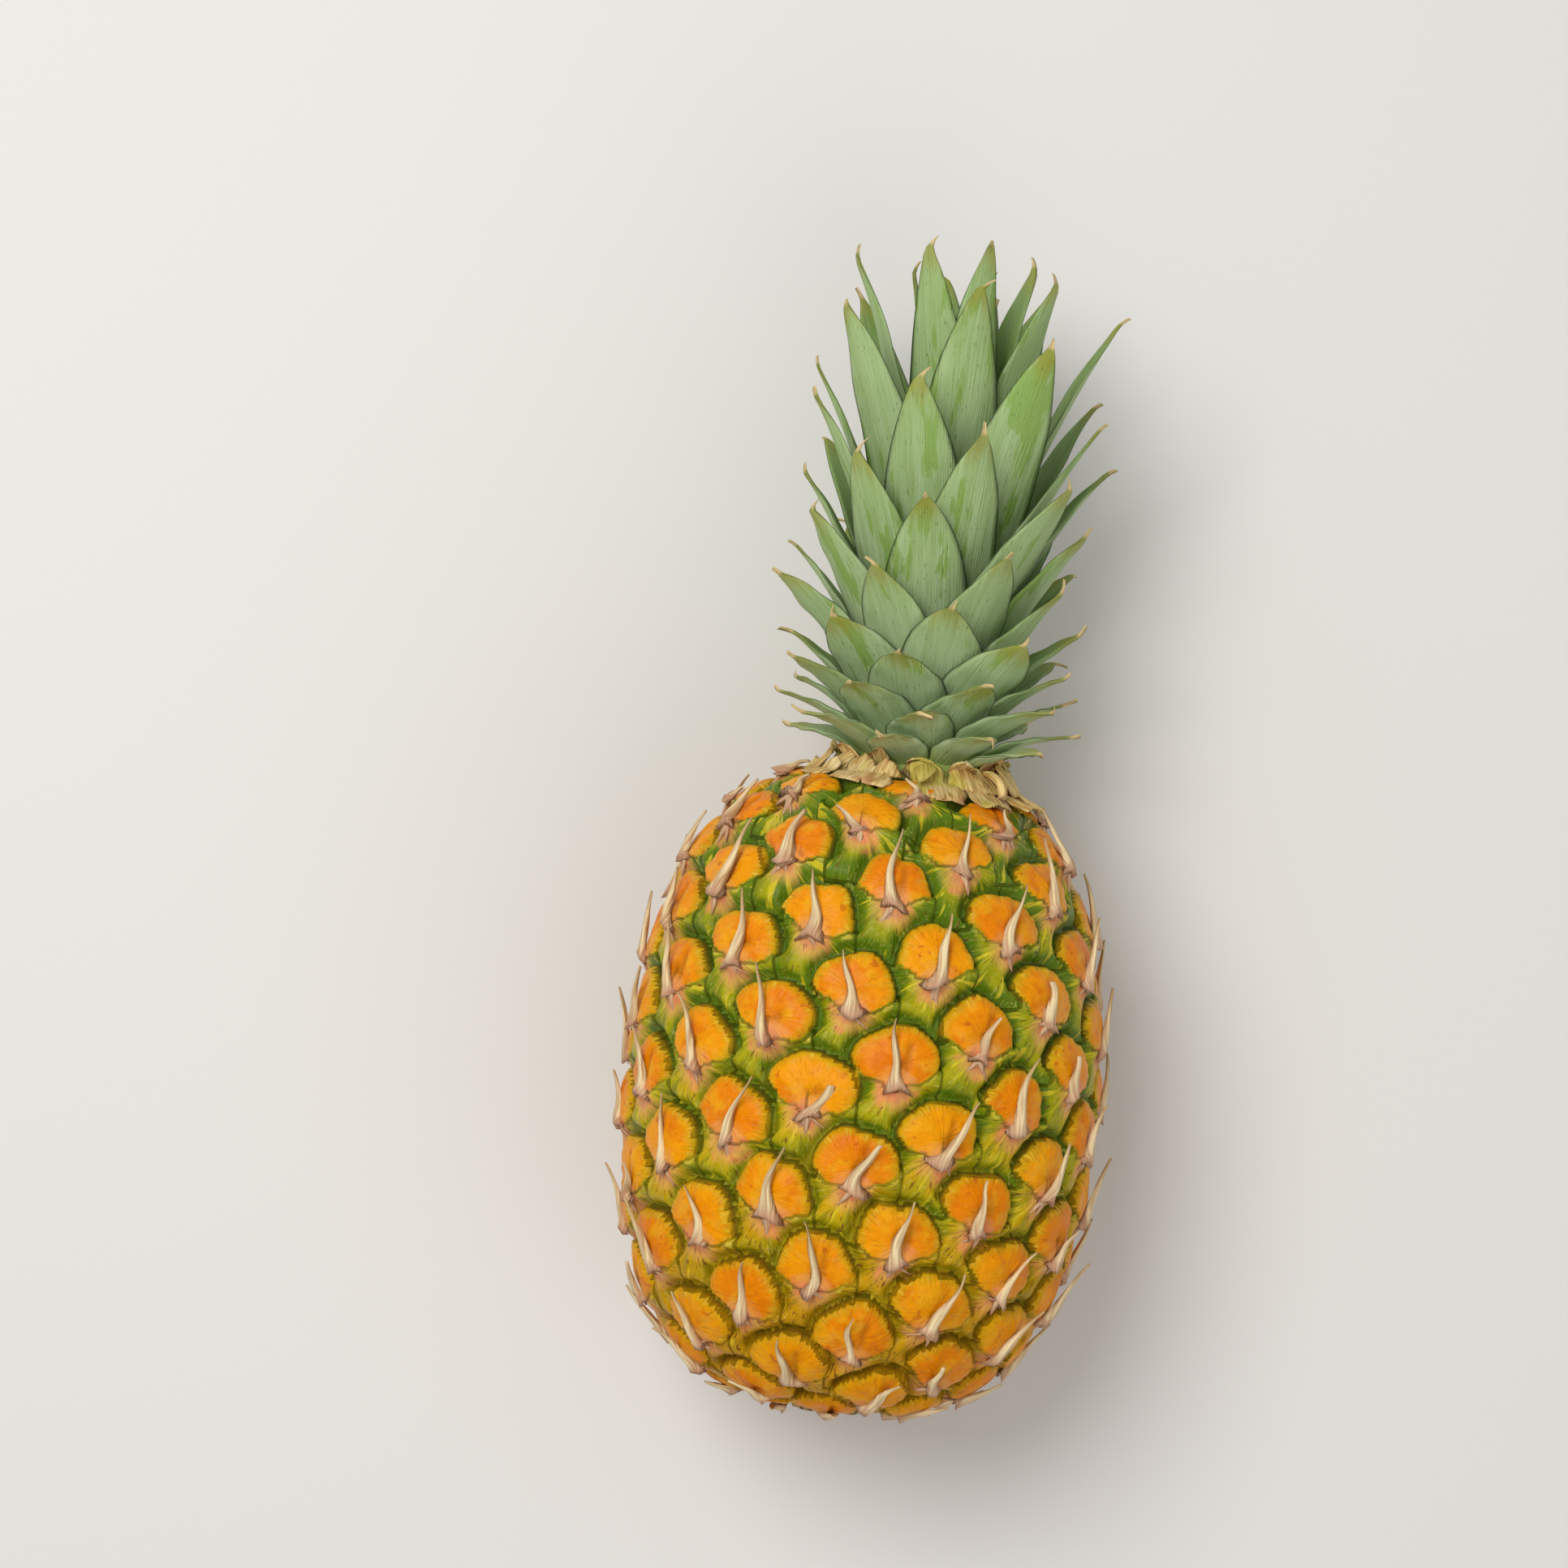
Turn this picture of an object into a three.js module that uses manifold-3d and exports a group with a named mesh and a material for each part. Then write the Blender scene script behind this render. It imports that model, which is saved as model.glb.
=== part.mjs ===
// A whole ripe pineapple lying on its side: fruit, cut stem stub, dry collar bracts and leafy crown.
// Millimetres, +Z up. The fruit's axis lies along +Y with the crown at the +Y end. The origin is the
// middle of the small flat spot that the fruit rests on.
import * as THREE from "three";
import { ConvexHull } from "three/addons/math/ConvexHull.js";
import { mergeVertices } from "three/addons/utils/BufferGeometryUtils.js";
import Module from "manifold-3d";

const wasm = await Module();
wasm.setup();

// Driving dimensions of the fruit
const FRUIT_RADIUS = 55.6; // widest radius, without the raised eyes
const TOP_LENGTH = 78; // from the widest place up to the crown end
const BASE_LENGTH = 74; // from the widest place down to the stem end
const TOP_POWER = 2.2; // shoulder shape: larger is squarer
const TOP_ROUND = 3.2;
const BASE_POWER = 2.4;
const BASE_ROUND = 3.0;
const WIDEST_Y = -2; // where the widest place lies on the axis
const NECK_Y = 75; // the flat neck that the crown grows from
const BASE_Y = -75.6; // the stem end
const BASE_RADIUS = 13;
const STUB_RECESS = 4;
const REST_FLAT = 1.7; // how far the lowest eyes are pressed flat
const REST_SPREAD = 18; // the grooves close up within this distance of the spot that the fruit rests on
const EYE_TOP = 1.4; // how far an eye's disc stands out of the fruit
const AXIS_HEIGHT = FRUIT_RADIUS + EYE_TOP - REST_FLAT;

// Spiral order of eyes and leaves
const GOLDEN = THREE.MathUtils.degToRad(137.50776);
const EYE_RISE = 1.18; // rise along the widest part from one eye to the next
const EYE_PHASE = THREE.MathUtils.degToRad(-5.7); // the marker eye's turn from straight up
const MARKER_Y = 25.1; // where the marker eye sits on the axis
const SPIRAL_LEAN = 3.7; // the spiral order's axis leans a little across the fruit's own
const CROWDING = -0.5; // power of the radius in the rise, which grows where the fruit gets slim
const FADE = 6; // how far from the neck and the stem end the eyes' relief runs out
const GAP = 0.3; // clearance between touching pieces

// Eyes and their dry spines
const DISC_SHARE = 0.7; // how far an eye's raised disc reaches from its middle towards the cell's corners
const GROOVE = 1.5;
const DEEP_GROOVE = 2.3;
const SPINE_LENGTH = 15;
const SPINE_WIDTH = 5.4;
const SPINE_LIFT = 4.2;
const PRESSED = -0.96; // eyes that face straight down have their spines pressed in

// Crown
const LEAVES = 78;
const LOWEST_LEAF = 4; // the first four places hold only dry bracts
const STEM_RADIUS = 14.5;
const STEM_HEIGHT = 32;
const FIRST_LEAF = 1.5; // height of the lowest leaf's root above the neck
const CROWN_PHASE = THREE.MathUtils.degToRad(-2); // turn of the marker leaf that faces straight up
const MARKER_LEAF = 14;
const CROWN_SHIFT = 6; // the crown stands a little to +X of the fruit's axis
const LEAF_HUG = 14; // radius of a leaf's channel at its root
const LEAF_OPENING = 8; // how much wider that channel's radius is at the tip

// A repeatable number from 0 to 1 for piece n and use k.
function chance(n, k) {
  const s = Math.sin(n * 12.9898 + k * 78.233) * 43758.5453;
  return s - Math.floor(s);
}
const spread = (n, k, amount) => (2 * chance(n, k) - 1) * amount;
const smooth = (t) => {
  const c = Math.min(1, Math.max(0, t));
  return c * c * (3 - 2 * c);
};

// The fruit's radius, without eyes, at a place on its axis.
function fruitRadius(y) {
  const up = y > WIDEST_Y;
  const x = Math.abs(y - WIDEST_Y) / (up ? TOP_LENGTH : BASE_LENGTH);
  const fall = 1 - Math.pow(Math.min(x, 1), up ? TOP_POWER : BASE_POWER);
  return FRUIT_RADIUS * Math.pow(fall, 1 / (up ? TOP_ROUND : BASE_ROUND));
}

// Steps along the fruit's outline, with the arc length, the eye count and the conformal height at each.
const outline = [];
{
  const steps = 4000;
  let arc = 0;
  let count = 0;
  let conformal = 0;
  let before = null;
  for (let i = 0; i <= steps; i++) {
    // The places crowd towards both ends, where the outline turns in.
    const u = 0.5 - 0.5 * Math.cos((Math.PI * i) / steps);
    const y = BASE_Y + (NECK_Y - BASE_Y) * u;
    const r = fruitRadius(y);
    if (before) {
      const step = Math.hypot(y - before.y, r - before.r);
      const middle = (r + before.r) / 2;
      arc += step;
      count += step / (EYE_RISE * Math.pow(middle / FRUIT_RADIUS, CROWDING));
      conformal += step / middle;
    }
    before = { y, r, arc, count, conformal };
    outline.push(before);
  }
}

// The outline's state where one of its rising values reaches a number.
function outlineAt(key, value) {
  let low = 0;
  let high = outline.length - 1;
  while (high - low > 1) {
    const mid = (low + high) >> 1;
    if (outline[mid][key] < value) low = mid;
    else high = mid;
  }
  const a = outline[low];
  const b = outline[high];
  const f = THREE.MathUtils.clamp((value - a[key]) / (b[key] - a[key]), 0, 1);
  const mix = (name) => a[name] + (b[name] - a[name]) * f;
  const along = Math.hypot(b.y - a.y, b.r - a.r);
  return {
    y: mix("y"),
    r: mix("r"),
    arc: mix("arc"),
    count: mix("count"),
    conformal: mix("conformal"),
    climb: (b.y - a.y) / along,
    widen: (b.r - a.r) / along,
  };
}

const ARC_END = outline.at(-1).arc;
const MID_CONFORMAL = outlineAt("y", WIDEST_Y).conformal;
const MARKER_COUNT = outlineAt("y", MARKER_Y).count;

// The unit direction across the axis at a turn: 0 is straight up, a quarter turn is +X.
const across = (turn) => new THREE.Vector3(Math.sin(turn), 0, Math.cos(turn));

// A point of the fruit's surface, raised by lift along the surface's own normal.
function skinPoint(turn, arc, lift) {
  const o = outlineAt("arc", THREE.MathUtils.clamp(arc, 0, ARC_END));
  const out = across(turn).multiplyScalar(o.r + lift * o.climb);
  out.y = o.y - lift * o.widen;
  out.z += AXIS_HEIGHT;
  return out;
}

// Every eye: its turn and arc length, and the size of its cell.
const eyes = new Map();
{
  const first = Math.ceil(-MARKER_COUNT);
  const last = Math.floor(outline.at(-1).count - MARKER_COUNT);
  for (let n = first; n <= last; n++) {
    const turn = GOLDEN * n + EYE_PHASE;
    const at = outlineAt("count", MARKER_COUNT + n);
    const lean = SPIRAL_LEAN * Math.sin(turn) * (at.r / FRUIT_RADIUS);
    const arc = at.arc - lean;
    const here = outlineAt("arc", THREE.MathUtils.clamp(arc, 0, ARC_END));
    const cell = 2 * Math.PI * at.r * EYE_RISE * Math.pow(at.r / FRUIT_RADIUS, CROWDING);
    if (arc < 3.5 || arc > ARC_END - 5) continue;
    eyes.set(n, { n, turn, arc, r: here.r, y: here.y, size: Math.sqrt(cell) });
  }
}

// Relief runs out beside the neck and the stem end.
const fade = (arc) => smooth(arc / FADE) * smooth((ARC_END - arc) / FADE);

// The relief at a place: none beside the ends, and no grooves where the fruit's weight presses on them.
function relief(turn, arc, lift) {
  const at = skinPoint(turn, arc, 0);
  const away = at.z > AXIS_HEIGHT ? REST_SPREAD : Math.hypot(at.x, at.y);
  const pressed = lift < 0 ? smooth(away / REST_SPREAD) : 1;
  return lift * pressed * fade(arc);
}

// The fruit's skin: points on eyes and in grooves, joined by the hull of their places on a sphere.
function skinGeometry() {
  const seen = [];
  const add = (turn, arc, lift) => {
    const at = outlineAt("arc", THREE.MathUtils.clamp(arc, 0, ARC_END));
    const c = at.conformal - MID_CONFORMAL;
    const flat = 1 / Math.cosh(c);
    const onSphere = new THREE.Vector3(Math.sin(turn) * flat, Math.tanh(c), Math.cos(turn) * flat);
    seen.push({ onSphere, place: skinPoint(turn, arc, relief(turn, arc, lift)) });
  };
  for (const eye of eyes.values()) {
    add(eye.turn, eye.arc, EYE_TOP + 0.6);
    // The offset of a neighbour along the spirals, read off the outline even past the last eye.
    const offset = (step) => {
      const turn = GOLDEN * step;
      const there = outlineAt("count", MARKER_COUNT + eye.n + step);
      const here = outlineAt("count", MARKER_COUNT + eye.n);
      return { turn: Math.atan2(Math.sin(turn), Math.cos(turn)), arc: there.arc - here.arc };
    };
    const around = [8, 21, 13, -8, -21, -13].map(offset);
    around.forEach((a, i) => {
      const b = around[(i + 1) % around.length];
      const corner = { turn: (a.turn + b.turn) / 3, arc: (a.arc + b.arc) / 3 };
      add(eye.turn + DISC_SHARE * corner.turn, eye.arc + DISC_SHARE * corner.arc, EYE_TOP - 0.3);
      // Each groove is set out once, by the lower of the eyes beside it.
      if (i < 2) add(eye.turn + corner.turn, eye.arc + corner.arc, -DEEP_GROOVE);
      if (i === 0 || i === 2) add(eye.turn + a.turn / 2, eye.arc + a.arc / 2, -GROOVE);
    });
  }
  const rim = 18;
  for (let i = 0; i < rim; i++) {
    add((i / rim) * 2 * Math.PI, ARC_END, 0);
    add((i / rim) * 2 * Math.PI, 0, 0);
  }
  seen.push({ onSphere: new THREE.Vector3(0, 1, 0), place: new THREE.Vector3(0, NECK_Y, AXIS_HEIGHT) });
  seen.push({ onSphere: new THREE.Vector3(0, -1, 0), place: new THREE.Vector3(0, BASE_Y, AXIS_HEIGHT) });

  const placeOf = new Map(seen.map((p) => [p.onSphere, p.place]));
  const hull = new ConvexHull().setFromPoints(seen.map((p) => p.onSphere));
  const corners = [];
  for (const face of hull.faces) {
    let edge = face.edge;
    do {
      corners.push(placeOf.get(edge.head().point));
      edge = edge.next;
    } while (edge !== face.edge);
  }
  return new THREE.BufferGeometry().setFromPoints(corners);
}

// A closed three.js geometry as a solid that can be joined and cut. One that faces inwards is turned.
function solid(geometry) {
  const bare = geometry.index ? geometry.toNonIndexed() : geometry.clone();
  bare.deleteAttribute("normal");
  bare.deleteAttribute("uv");
  const merged = mergeVertices(bare, 1e-4);
  const vertProperties = merged.attributes.position.array;
  const triVerts = new Uint32Array(merged.index.array);
  const made = new wasm.Manifold(new wasm.Mesh({ numProp: 3, vertProperties, triVerts }));
  if (made.volume() > 0) return made;
  return new wasm.Manifold(new wasm.Mesh({ numProp: 3, vertProperties, triVerts: triVerts.reverse() }));
}

// The largest closed shell: hollows that joining sealed are filled, and loose scraps are dropped.
function oneBody(made) {
  return made.decompose().sort((a, b) => b.volume() - a.volume())[0];
}

function geometryOf(made) {
  const mesh = made.getMesh();
  const geometry = new THREE.BufferGeometry();
  geometry.setAttribute("position", new THREE.BufferAttribute(new Float32Array(mesh.vertProperties), 3));
  geometry.setIndex(new THREE.BufferAttribute(new Uint32Array(mesh.triVerts), 1));
  geometry.computeVertexNormals();
  return geometry;
}

// A closed tube of cross-sections, each a list of points in the same order, ending in a point.
function loft(sections, tip) {
  const count = sections[0].length;
  const points = [...sections.flat(), tip];
  const index = [];
  for (let s = 0; s + 1 < sections.length; s++) {
    for (let i = 0; i < count; i++) {
      const a = s * count + i;
      const b = s * count + ((i + 1) % count);
      index.push(a, b, b + count, a, b + count, a + count);
    }
  }
  const last = (sections.length - 1) * count;
  for (let i = 0; i < count; i++) index.push(last + i, last + ((i + 1) % count), points.length - 1);
  for (let i = 1; i + 1 < count; i++) index.push(0, i + 1, i);
  return new THREE.BufferGeometry().setFromPoints(points).setIndex(index);
}

// The dry spine of one eye's bract: broad and sunk at its root, slim and lifted at its tip.
function spine(eye) {
  const room = Math.max(0, ARC_END - 13 - eye.arc);
  const length = Math.min(SPINE_LENGTH * (0.85 + 0.3 * chance(eye.n, 1)), room);
  if (length < 6) return null;
  const root = eye.arc - 0.25 * eye.size;
  const lean = 1 + spread(eye.n, 2, 3);
  const lift = SPINE_LIFT * (0.75 + 0.5 * chance(eye.n, 3)) * (length / SPINE_LENGTH);
  const point = (side, up, high) => skinPoint(eye.turn + side / eye.r, root + up, high);
  const width = SPINE_WIDTH / 2;
  const foot = [point(width, -1, 0), point(-width, -1, 0), point(0, -1.5, EYE_TOP + 1.9)];
  return loft([foot], point(lean, length, EYE_TOP + lift));
}

// A box of material to cut away, by its lowest and highest corners.
function cutter(low, high) {
  const size = new THREE.Vector3().subVectors(high, low);
  const middle = new THREE.Vector3().addVectors(low, high).multiplyScalar(0.5);
  return solid(new THREE.BoxGeometry(size.x, size.y, size.z).translate(middle.x, middle.y, middle.z));
}

function makeFruit() {
  const pieces = [solid(skinGeometry())];
  for (const eye of eyes.values()) {
    const pressed = Math.cos(eye.turn) < PRESSED && Math.abs(eye.y) < 50;
    const made = pressed ? null : spine(eye);
    if (made) pieces.push(solid(made));
  }
  const joined = wasm.Manifold.union(pieces);
  const below = cutter(new THREE.Vector3(-80, -100, -20), new THREE.Vector3(80, 100, 0));
  const recess = new THREE.CylinderGeometry(BASE_RADIUS - 1.5, BASE_RADIUS - 0.5, 2 * STUB_RECESS, 24);
  recess.translate(0, BASE_Y, AXIS_HEIGHT);
  return joined.subtract(below).subtract(solid(recess));
}

// The cut stem: a woody stub in the recess at the stem end, its cut face a little uneven.
function makeStub() {
  const sides = 20;
  const radius = BASE_RADIUS - 3.2;
  const ringAt = (y, r, rough) => {
    const points = [];
    for (let i = 0; i < sides; i++) {
      const turn = (-i / sides) * 2 * Math.PI;
      const wave = 1 + rough * spread(i, 21, 1);
      const p = across(turn).multiplyScalar(r * wave);
      p.y = y + rough * spread(i, 22, 5);
      p.z += AXIS_HEIGHT;
      points.push(p);
    }
    return points;
  };
  const top = BASE_Y + STUB_RECESS - GAP;
  const buried = ringAt(top, radius + 0.6, 0);
  const side = ringAt(BASE_Y - 0.5, radius, 0.03);
  const cut = ringAt(BASE_Y - 2.6, radius * 0.93, 0.08);
  return solid(loft([buried, side, cut], new THREE.Vector3(0, BASE_Y - 2.1, AXIS_HEIGHT)));
}

// One crown leaf: where it grows, how long and wide it is, and how it bends.
function leafPlan(j) {
  const share = j / (LEAVES - 1);
  const turn = GOLDEN * (j - MARKER_LEAF) + CROWN_PHASE + spread(j, 4, 0.06);
  const rootHeight = FIRST_LEAF + (STEM_HEIGHT - FIRST_LEAF - 4) * Math.pow(share, 1.15);
  const dome = Math.sqrt(Math.max(0, 1 - Math.pow(rootHeight / STEM_HEIGHT, 2)));
  const rootRadius = Math.max(2.2, STEM_RADIUS * dome - 1.5);
  const k = j - MARKER_LEAF;
  const rise = Math.min(15 + 1.03 * k + 0.0158 * k * k, 134) * (1 + spread(j, 5, 0.03));
  const tipHeight = Math.max(rise, 8 + 0.5 * j) - 6 * smooth((share - 0.93) / 0.07);
  const tipRadius = 33 + 5 * smooth(share / 0.2) - 26 * smooth((share - 0.86) / 0.17) + spread(j, 6, 2.5);
  const width = 16.5 + 4.5 * smooth((share - 0.1) / 0.4) - 3.5 * smooth((share - 0.88) / 0.12);
  const bend = THREE.MathUtils.degToRad(20 - 9 * smooth(share / 0.8) + spread(j, 7, 3));
  const twist = spread(j, 17, 0.38);
  return { j, share, turn, rootHeight, rootRadius, tipHeight, tipRadius, width, bend, twist };
}

// The leaf's midrib is an arc from root to tip: distance from the axis, height and slope at t from 0 to 1.
function midrib(plan, t) {
  const outward = plan.tipRadius - plan.rootRadius;
  const upward = plan.tipHeight - plan.rootHeight;
  const chord = Math.hypot(outward, upward);
  const slope = Math.atan2(outward, upward);
  const turned = -plan.bend + 2 * plan.bend * t;
  const radius = chord / (2 * Math.sin(plan.bend));
  // Chord coordinates of a circular arc that leans out by bend at its tip.
  const along = radius * (Math.sin(turned) + Math.sin(plan.bend));
  const bulge = radius * (Math.cos(turned) - Math.cos(plan.bend));
  return {
    out: plan.rootRadius + along * Math.sin(slope) - bulge * Math.cos(slope),
    up: plan.rootHeight + along * Math.cos(slope) + bulge * Math.sin(slope),
    slope: slope + turned,
    length: chord,
  };
}

// Half width of a leaf at t: a sheathing root, widest low down, and a long narrowing tip.
function leafHalfWidth(plan, t) {
  const widest = 0.28 + 0.17 * plan.share;
  const swell = 0.82 + 0.18 * smooth(t / widest);
  const past = Math.max(0, (t - widest) / (1 - widest));
  const narrow = Math.pow(Math.max(0, 1 - Math.pow(past, 2.1)), 0.9);
  return (plan.width / 2) * swell * narrow;
}

// A leaf's cross-section at t: a keeled outer face, both edges curved in, and a twist that grows with t.
function leafSection(plan, t) {
  const rib = midrib(plan, t);
  const half = leafHalfWidth(plan, t);
  const hug = LEAF_HUG + LEAF_OPENING * t;
  const wrap = half / hug;
  const sag = hug * (1 - Math.cos(wrap));
  const reach = hug * Math.sin(wrap);
  const thick = 0.8 - 0.1 * t;
  const outDir = across(plan.turn);
  const sideDir = across(plan.turn + Math.PI / 2);
  const cos = Math.cos(plan.twist * t);
  const sin = Math.sin(plan.twist * t);
  const place = (flatSide, flatInward) => {
    const side = flatSide * cos - flatInward * sin;
    const inward = flatSide * sin + flatInward * cos;
    const p = outDir.clone().multiplyScalar(rib.out - inward * Math.cos(rib.slope));
    p.addScaledVector(sideDir, side);
    p.y = NECK_Y + rib.up + inward * Math.sin(rib.slope);
    p.x += CROWN_SHIFT;
    p.z += AXIS_HEIGHT;
    return p;
  };
  return [place(0, 0), place(-reach, sag + thick), place(reach, sag + thick)];
}

function leaf(j) {
  const plan = leafPlan(j);
  const stations = j < 26 ? [0, 0.45, 0.82] : [0, 0.38, 0.68, 0.89];
  const sections = stations.map((t) => leafSection(plan, t));
  const tip = leafSection(plan, 1)[0];
  return loft(sections, tip);
}

// The crown: a short domed stem with every leaf's root sunk in it.
function makeCrown() {
  const steps = 7;
  const profile = [new THREE.Vector2(0, NECK_Y + GAP), new THREE.Vector2(STEM_RADIUS, NECK_Y + GAP)];
  for (let i = 0; i <= steps; i++) {
    const a = (i / steps) * (Math.PI / 2);
    const radius = i === steps ? 0 : STEM_RADIUS * Math.cos(a);
    profile.push(new THREE.Vector2(radius, NECK_Y + 1 + (STEM_HEIGHT - 1) * Math.sin(a)));
  }
  const stem = new THREE.LatheGeometry(profile, 20);
  stem.translate(CROWN_SHIFT, 0, AXIS_HEIGHT);
  const pieces = [solid(stem)];
  for (let j = LOWEST_LEAF; j < LEAVES; j++) pieces.push(solid(leaf(j)));
  return wasm.Manifold.union(pieces);
}

// The dry collar: a ring of papery brown bracts round the crown's foot.
function makeCollar() {
  const inner = STEM_RADIUS + GAP;
  const outer = STEM_RADIUS + 3;
  const low = NECK_Y + GAP;
  const high = NECK_Y + 1.6;
  const profile = [
    new THREE.Vector2(inner, low),
    new THREE.Vector2(outer, low),
    new THREE.Vector2(outer, high),
    new THREE.Vector2(inner, high),
    new THREE.Vector2(inner, low),
  ];
  const band = new THREE.LatheGeometry(profile, 26);
  const pieces = [solid(band)];
  const bracts = 17;
  for (let i = 0; i < bracts; i++) {
    const turn = ((i + spread(i, 11, 0.2)) / bracts) * 2 * Math.PI;
    const reach = 5.5 + 2 * chance(i, 12);
    const half = 3 + 1.2 * chance(i, 13);
    const curl = 2.6 + 1 * chance(i, 14);
    const station = (out, up, wide, thick) => {
      const outDir = across(turn);
      const sideDir = across(turn + Math.PI / 2);
      const place = (side, over) => {
        const p = outDir.clone().multiplyScalar(outer - 1.2 + out).addScaledVector(sideDir, side);
        p.y = low + 0.35 + up + over;
        return p;
      };
      return [place(0, 0), place(-wide, 0.45), place(0, thick), place(wide, 0.45)];
    };
    const foot = station(0, 0, half, 1);
    const bend = station(reach * 0.35, curl * 0.8, half, 0.9);
    const end = station(reach * 0.75, curl, half * 0.7, 0.8);
    pieces.push(solid(loft([foot, bend, end], station(reach, curl * 0.6, 0, 0.8)[0])));
  }
  const joined = wasm.Manifold.union(pieces);
  return joined.translate([CROWN_SHIFT, 0, AXIS_HEIGHT]);
}

function mesh(name, made, color, roughness) {
  const material = new THREE.MeshStandardMaterial({ color, roughness, metalness: 0, flatShading: true });
  const m = new THREE.Mesh(geometryOf(oneBody(made)), material);
  m.name = name;
  return m;
}

const pineapple = new THREE.Group();
pineapple.name = "pineapple";
pineapple.add(mesh("fruit", makeFruit(), 0xd9920f, 0.5));
pineapple.add(mesh("stem_stub", makeStub(), 0x9a7040, 0.85));
pineapple.add(mesh("collar", makeCollar(), 0xa9825a, 0.8));
pineapple.add(mesh("crown", makeCrown(), 0x6f9a66, 0.55));

export default pineapple;
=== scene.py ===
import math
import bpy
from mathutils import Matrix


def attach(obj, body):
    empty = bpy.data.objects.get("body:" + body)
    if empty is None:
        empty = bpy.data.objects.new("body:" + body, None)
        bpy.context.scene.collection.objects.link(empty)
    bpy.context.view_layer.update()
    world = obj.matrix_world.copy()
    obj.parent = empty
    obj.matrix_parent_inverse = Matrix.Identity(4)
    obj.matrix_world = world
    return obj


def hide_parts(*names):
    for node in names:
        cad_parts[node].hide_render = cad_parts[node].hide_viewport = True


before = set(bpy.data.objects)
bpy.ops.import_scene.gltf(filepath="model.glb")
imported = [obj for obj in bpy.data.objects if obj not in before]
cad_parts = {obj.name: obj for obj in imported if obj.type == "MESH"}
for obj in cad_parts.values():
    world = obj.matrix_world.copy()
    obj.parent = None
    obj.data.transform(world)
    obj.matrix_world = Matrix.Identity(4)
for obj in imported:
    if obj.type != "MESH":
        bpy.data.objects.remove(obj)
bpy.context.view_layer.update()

# The looks of a whole pineapple lying on its side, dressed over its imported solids.
# The row frame is in metres. The shapes below are worked out in millimetres, by the solids' own formulas.
from types import SimpleNamespace

import bpy
import numpy as np
from mathutils import Vector

MM = 0.001

# Driving dimensions of the fruit, as in the solids
FRUIT_RADIUS = 55.6
TOP_LENGTH = 78.0
BASE_LENGTH = 74.0
TOP_POWER = 2.2
TOP_ROUND = 3.2
BASE_POWER = 2.4
BASE_ROUND = 3.0
WIDEST_Y = -2.0
NECK_Y = 75.0
BASE_Y = -75.6
BASE_RADIUS = 13.0
STUB_RECESS = 4.0
REST_FLAT = 1.7
EYE_TOP = 1.4
AXIS_HEIGHT = FRUIT_RADIUS + EYE_TOP - REST_FLAT

# Spiral order of eyes and leaves, as in the solids
GOLDEN = math.radians(137.50776)
EYE_RISE = 1.18
EYE_PHASE = math.radians(-5.7)
MARKER_Y = 25.1
SPIRAL_LEAN = 3.7
CROWDING = -0.5
FULL_EYE = math.sqrt(2 * math.pi * FRUIT_RADIUS * EYE_RISE)

# How near to the stem end and to the neck an eye's middle may be
BASE_MARGIN = 3.5
NECK_MARGIN = 5.0

# An eye on the skin: its disc, and the skirt that covers the disc from below, up to an edge.
# Places towards the crown are counted from the eye's middle.
DISC_RADIUS = 9.7
DISC_WIDENING = 1.07
GROOVE_WIDTH = 0.95
SKIRT_EDGE = -5.6
SKIRT_EDGE_RISE = 1.7
SKIRT_SAG = 0.035
SKIRT_REACH = 19.0
NO_SKIRT = 1000.0

# Heights of the relief, above the fruit's plain surface or as differences
DISC_TOP = EYE_TOP + 0.8
DISC_FALL = 1.6
DENT_DEPTH = 0.8
GROOVE_DEPTH = 1.2
SKIRT_FLOOR = -0.9
SKIRT_RISE = 1.9

# The relief runs out this near to the fruit's ends, and the stem's scar is this wide.
FADE = 6.0
SCAR_WIDTH = 7.0

# Points around the rind's mesh, and rings along it
COLUMNS = 460
ROWS = 208

# Dry spines, each with prongs at its foot, which is a share of the eye's size below the eye's middle
SPINE_LENGTH = 15.0
SPINE_LIFT = 4.2
SPINE_FOOT = 0.25
SHORTEST_SPINE = 7.0
COLLAR_ROOM = 13.0
CURLED_SHARE = 0.16
BROKEN_SHARE = 0.2
SPINE_STATIONS = 14
CLAWS = 5
CLAW_SHARE = 0.7
CLAW_SPACING = math.radians(38)
CLAW_STATIONS = 6
CLAW_SIDES = 5

# A spine's cross-section: places to its side, and heights, keeled above and hollow below
PROFILE_SIDE = np.array([-1, -0.55, 0, 0.55, 1, 0.5, 0, -0.5])
PROFILE_HIGH = np.array([0.0, 0.75, 1.15, 0.75, 0.0, 0.15, 0.45, 0.15])

# Eyes that face straight down are pressed flat and have no spine: past this cosine of the turn, and
# this near to the fruit's middle.
PRESSED = -0.96
PRESSED_REACH = 50.0

# Crown, as in the solids, and the young leaves in its heart
LEAVES = 78
LOWEST_LEAF = 4
YOUNG_LEAVES = 7
STEM_RADIUS = 14.5
STEM_HEIGHT = 32.0
FIRST_LEAF = 1.5
CROWN_PHASE = math.radians(-2)
MARKER_LEAF = 14
CROWN_SHIFT = 6.0
LEAF_HUG = 14.0
LEAF_OPENING = 8.0
LEAF_STATIONS = 30
LEAF_ACROSS = 11
STEM_LEVELS = 9
STEM_SIDES = 24

# How high the marker leaf's tip is, and how much higher each next leaf's, up to the tallest
MARKER_TIP = 15.0
TIP_STEP = 1.03
TIP_GROWTH = 0.0158
TALLEST_TIP = 134.0

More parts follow.
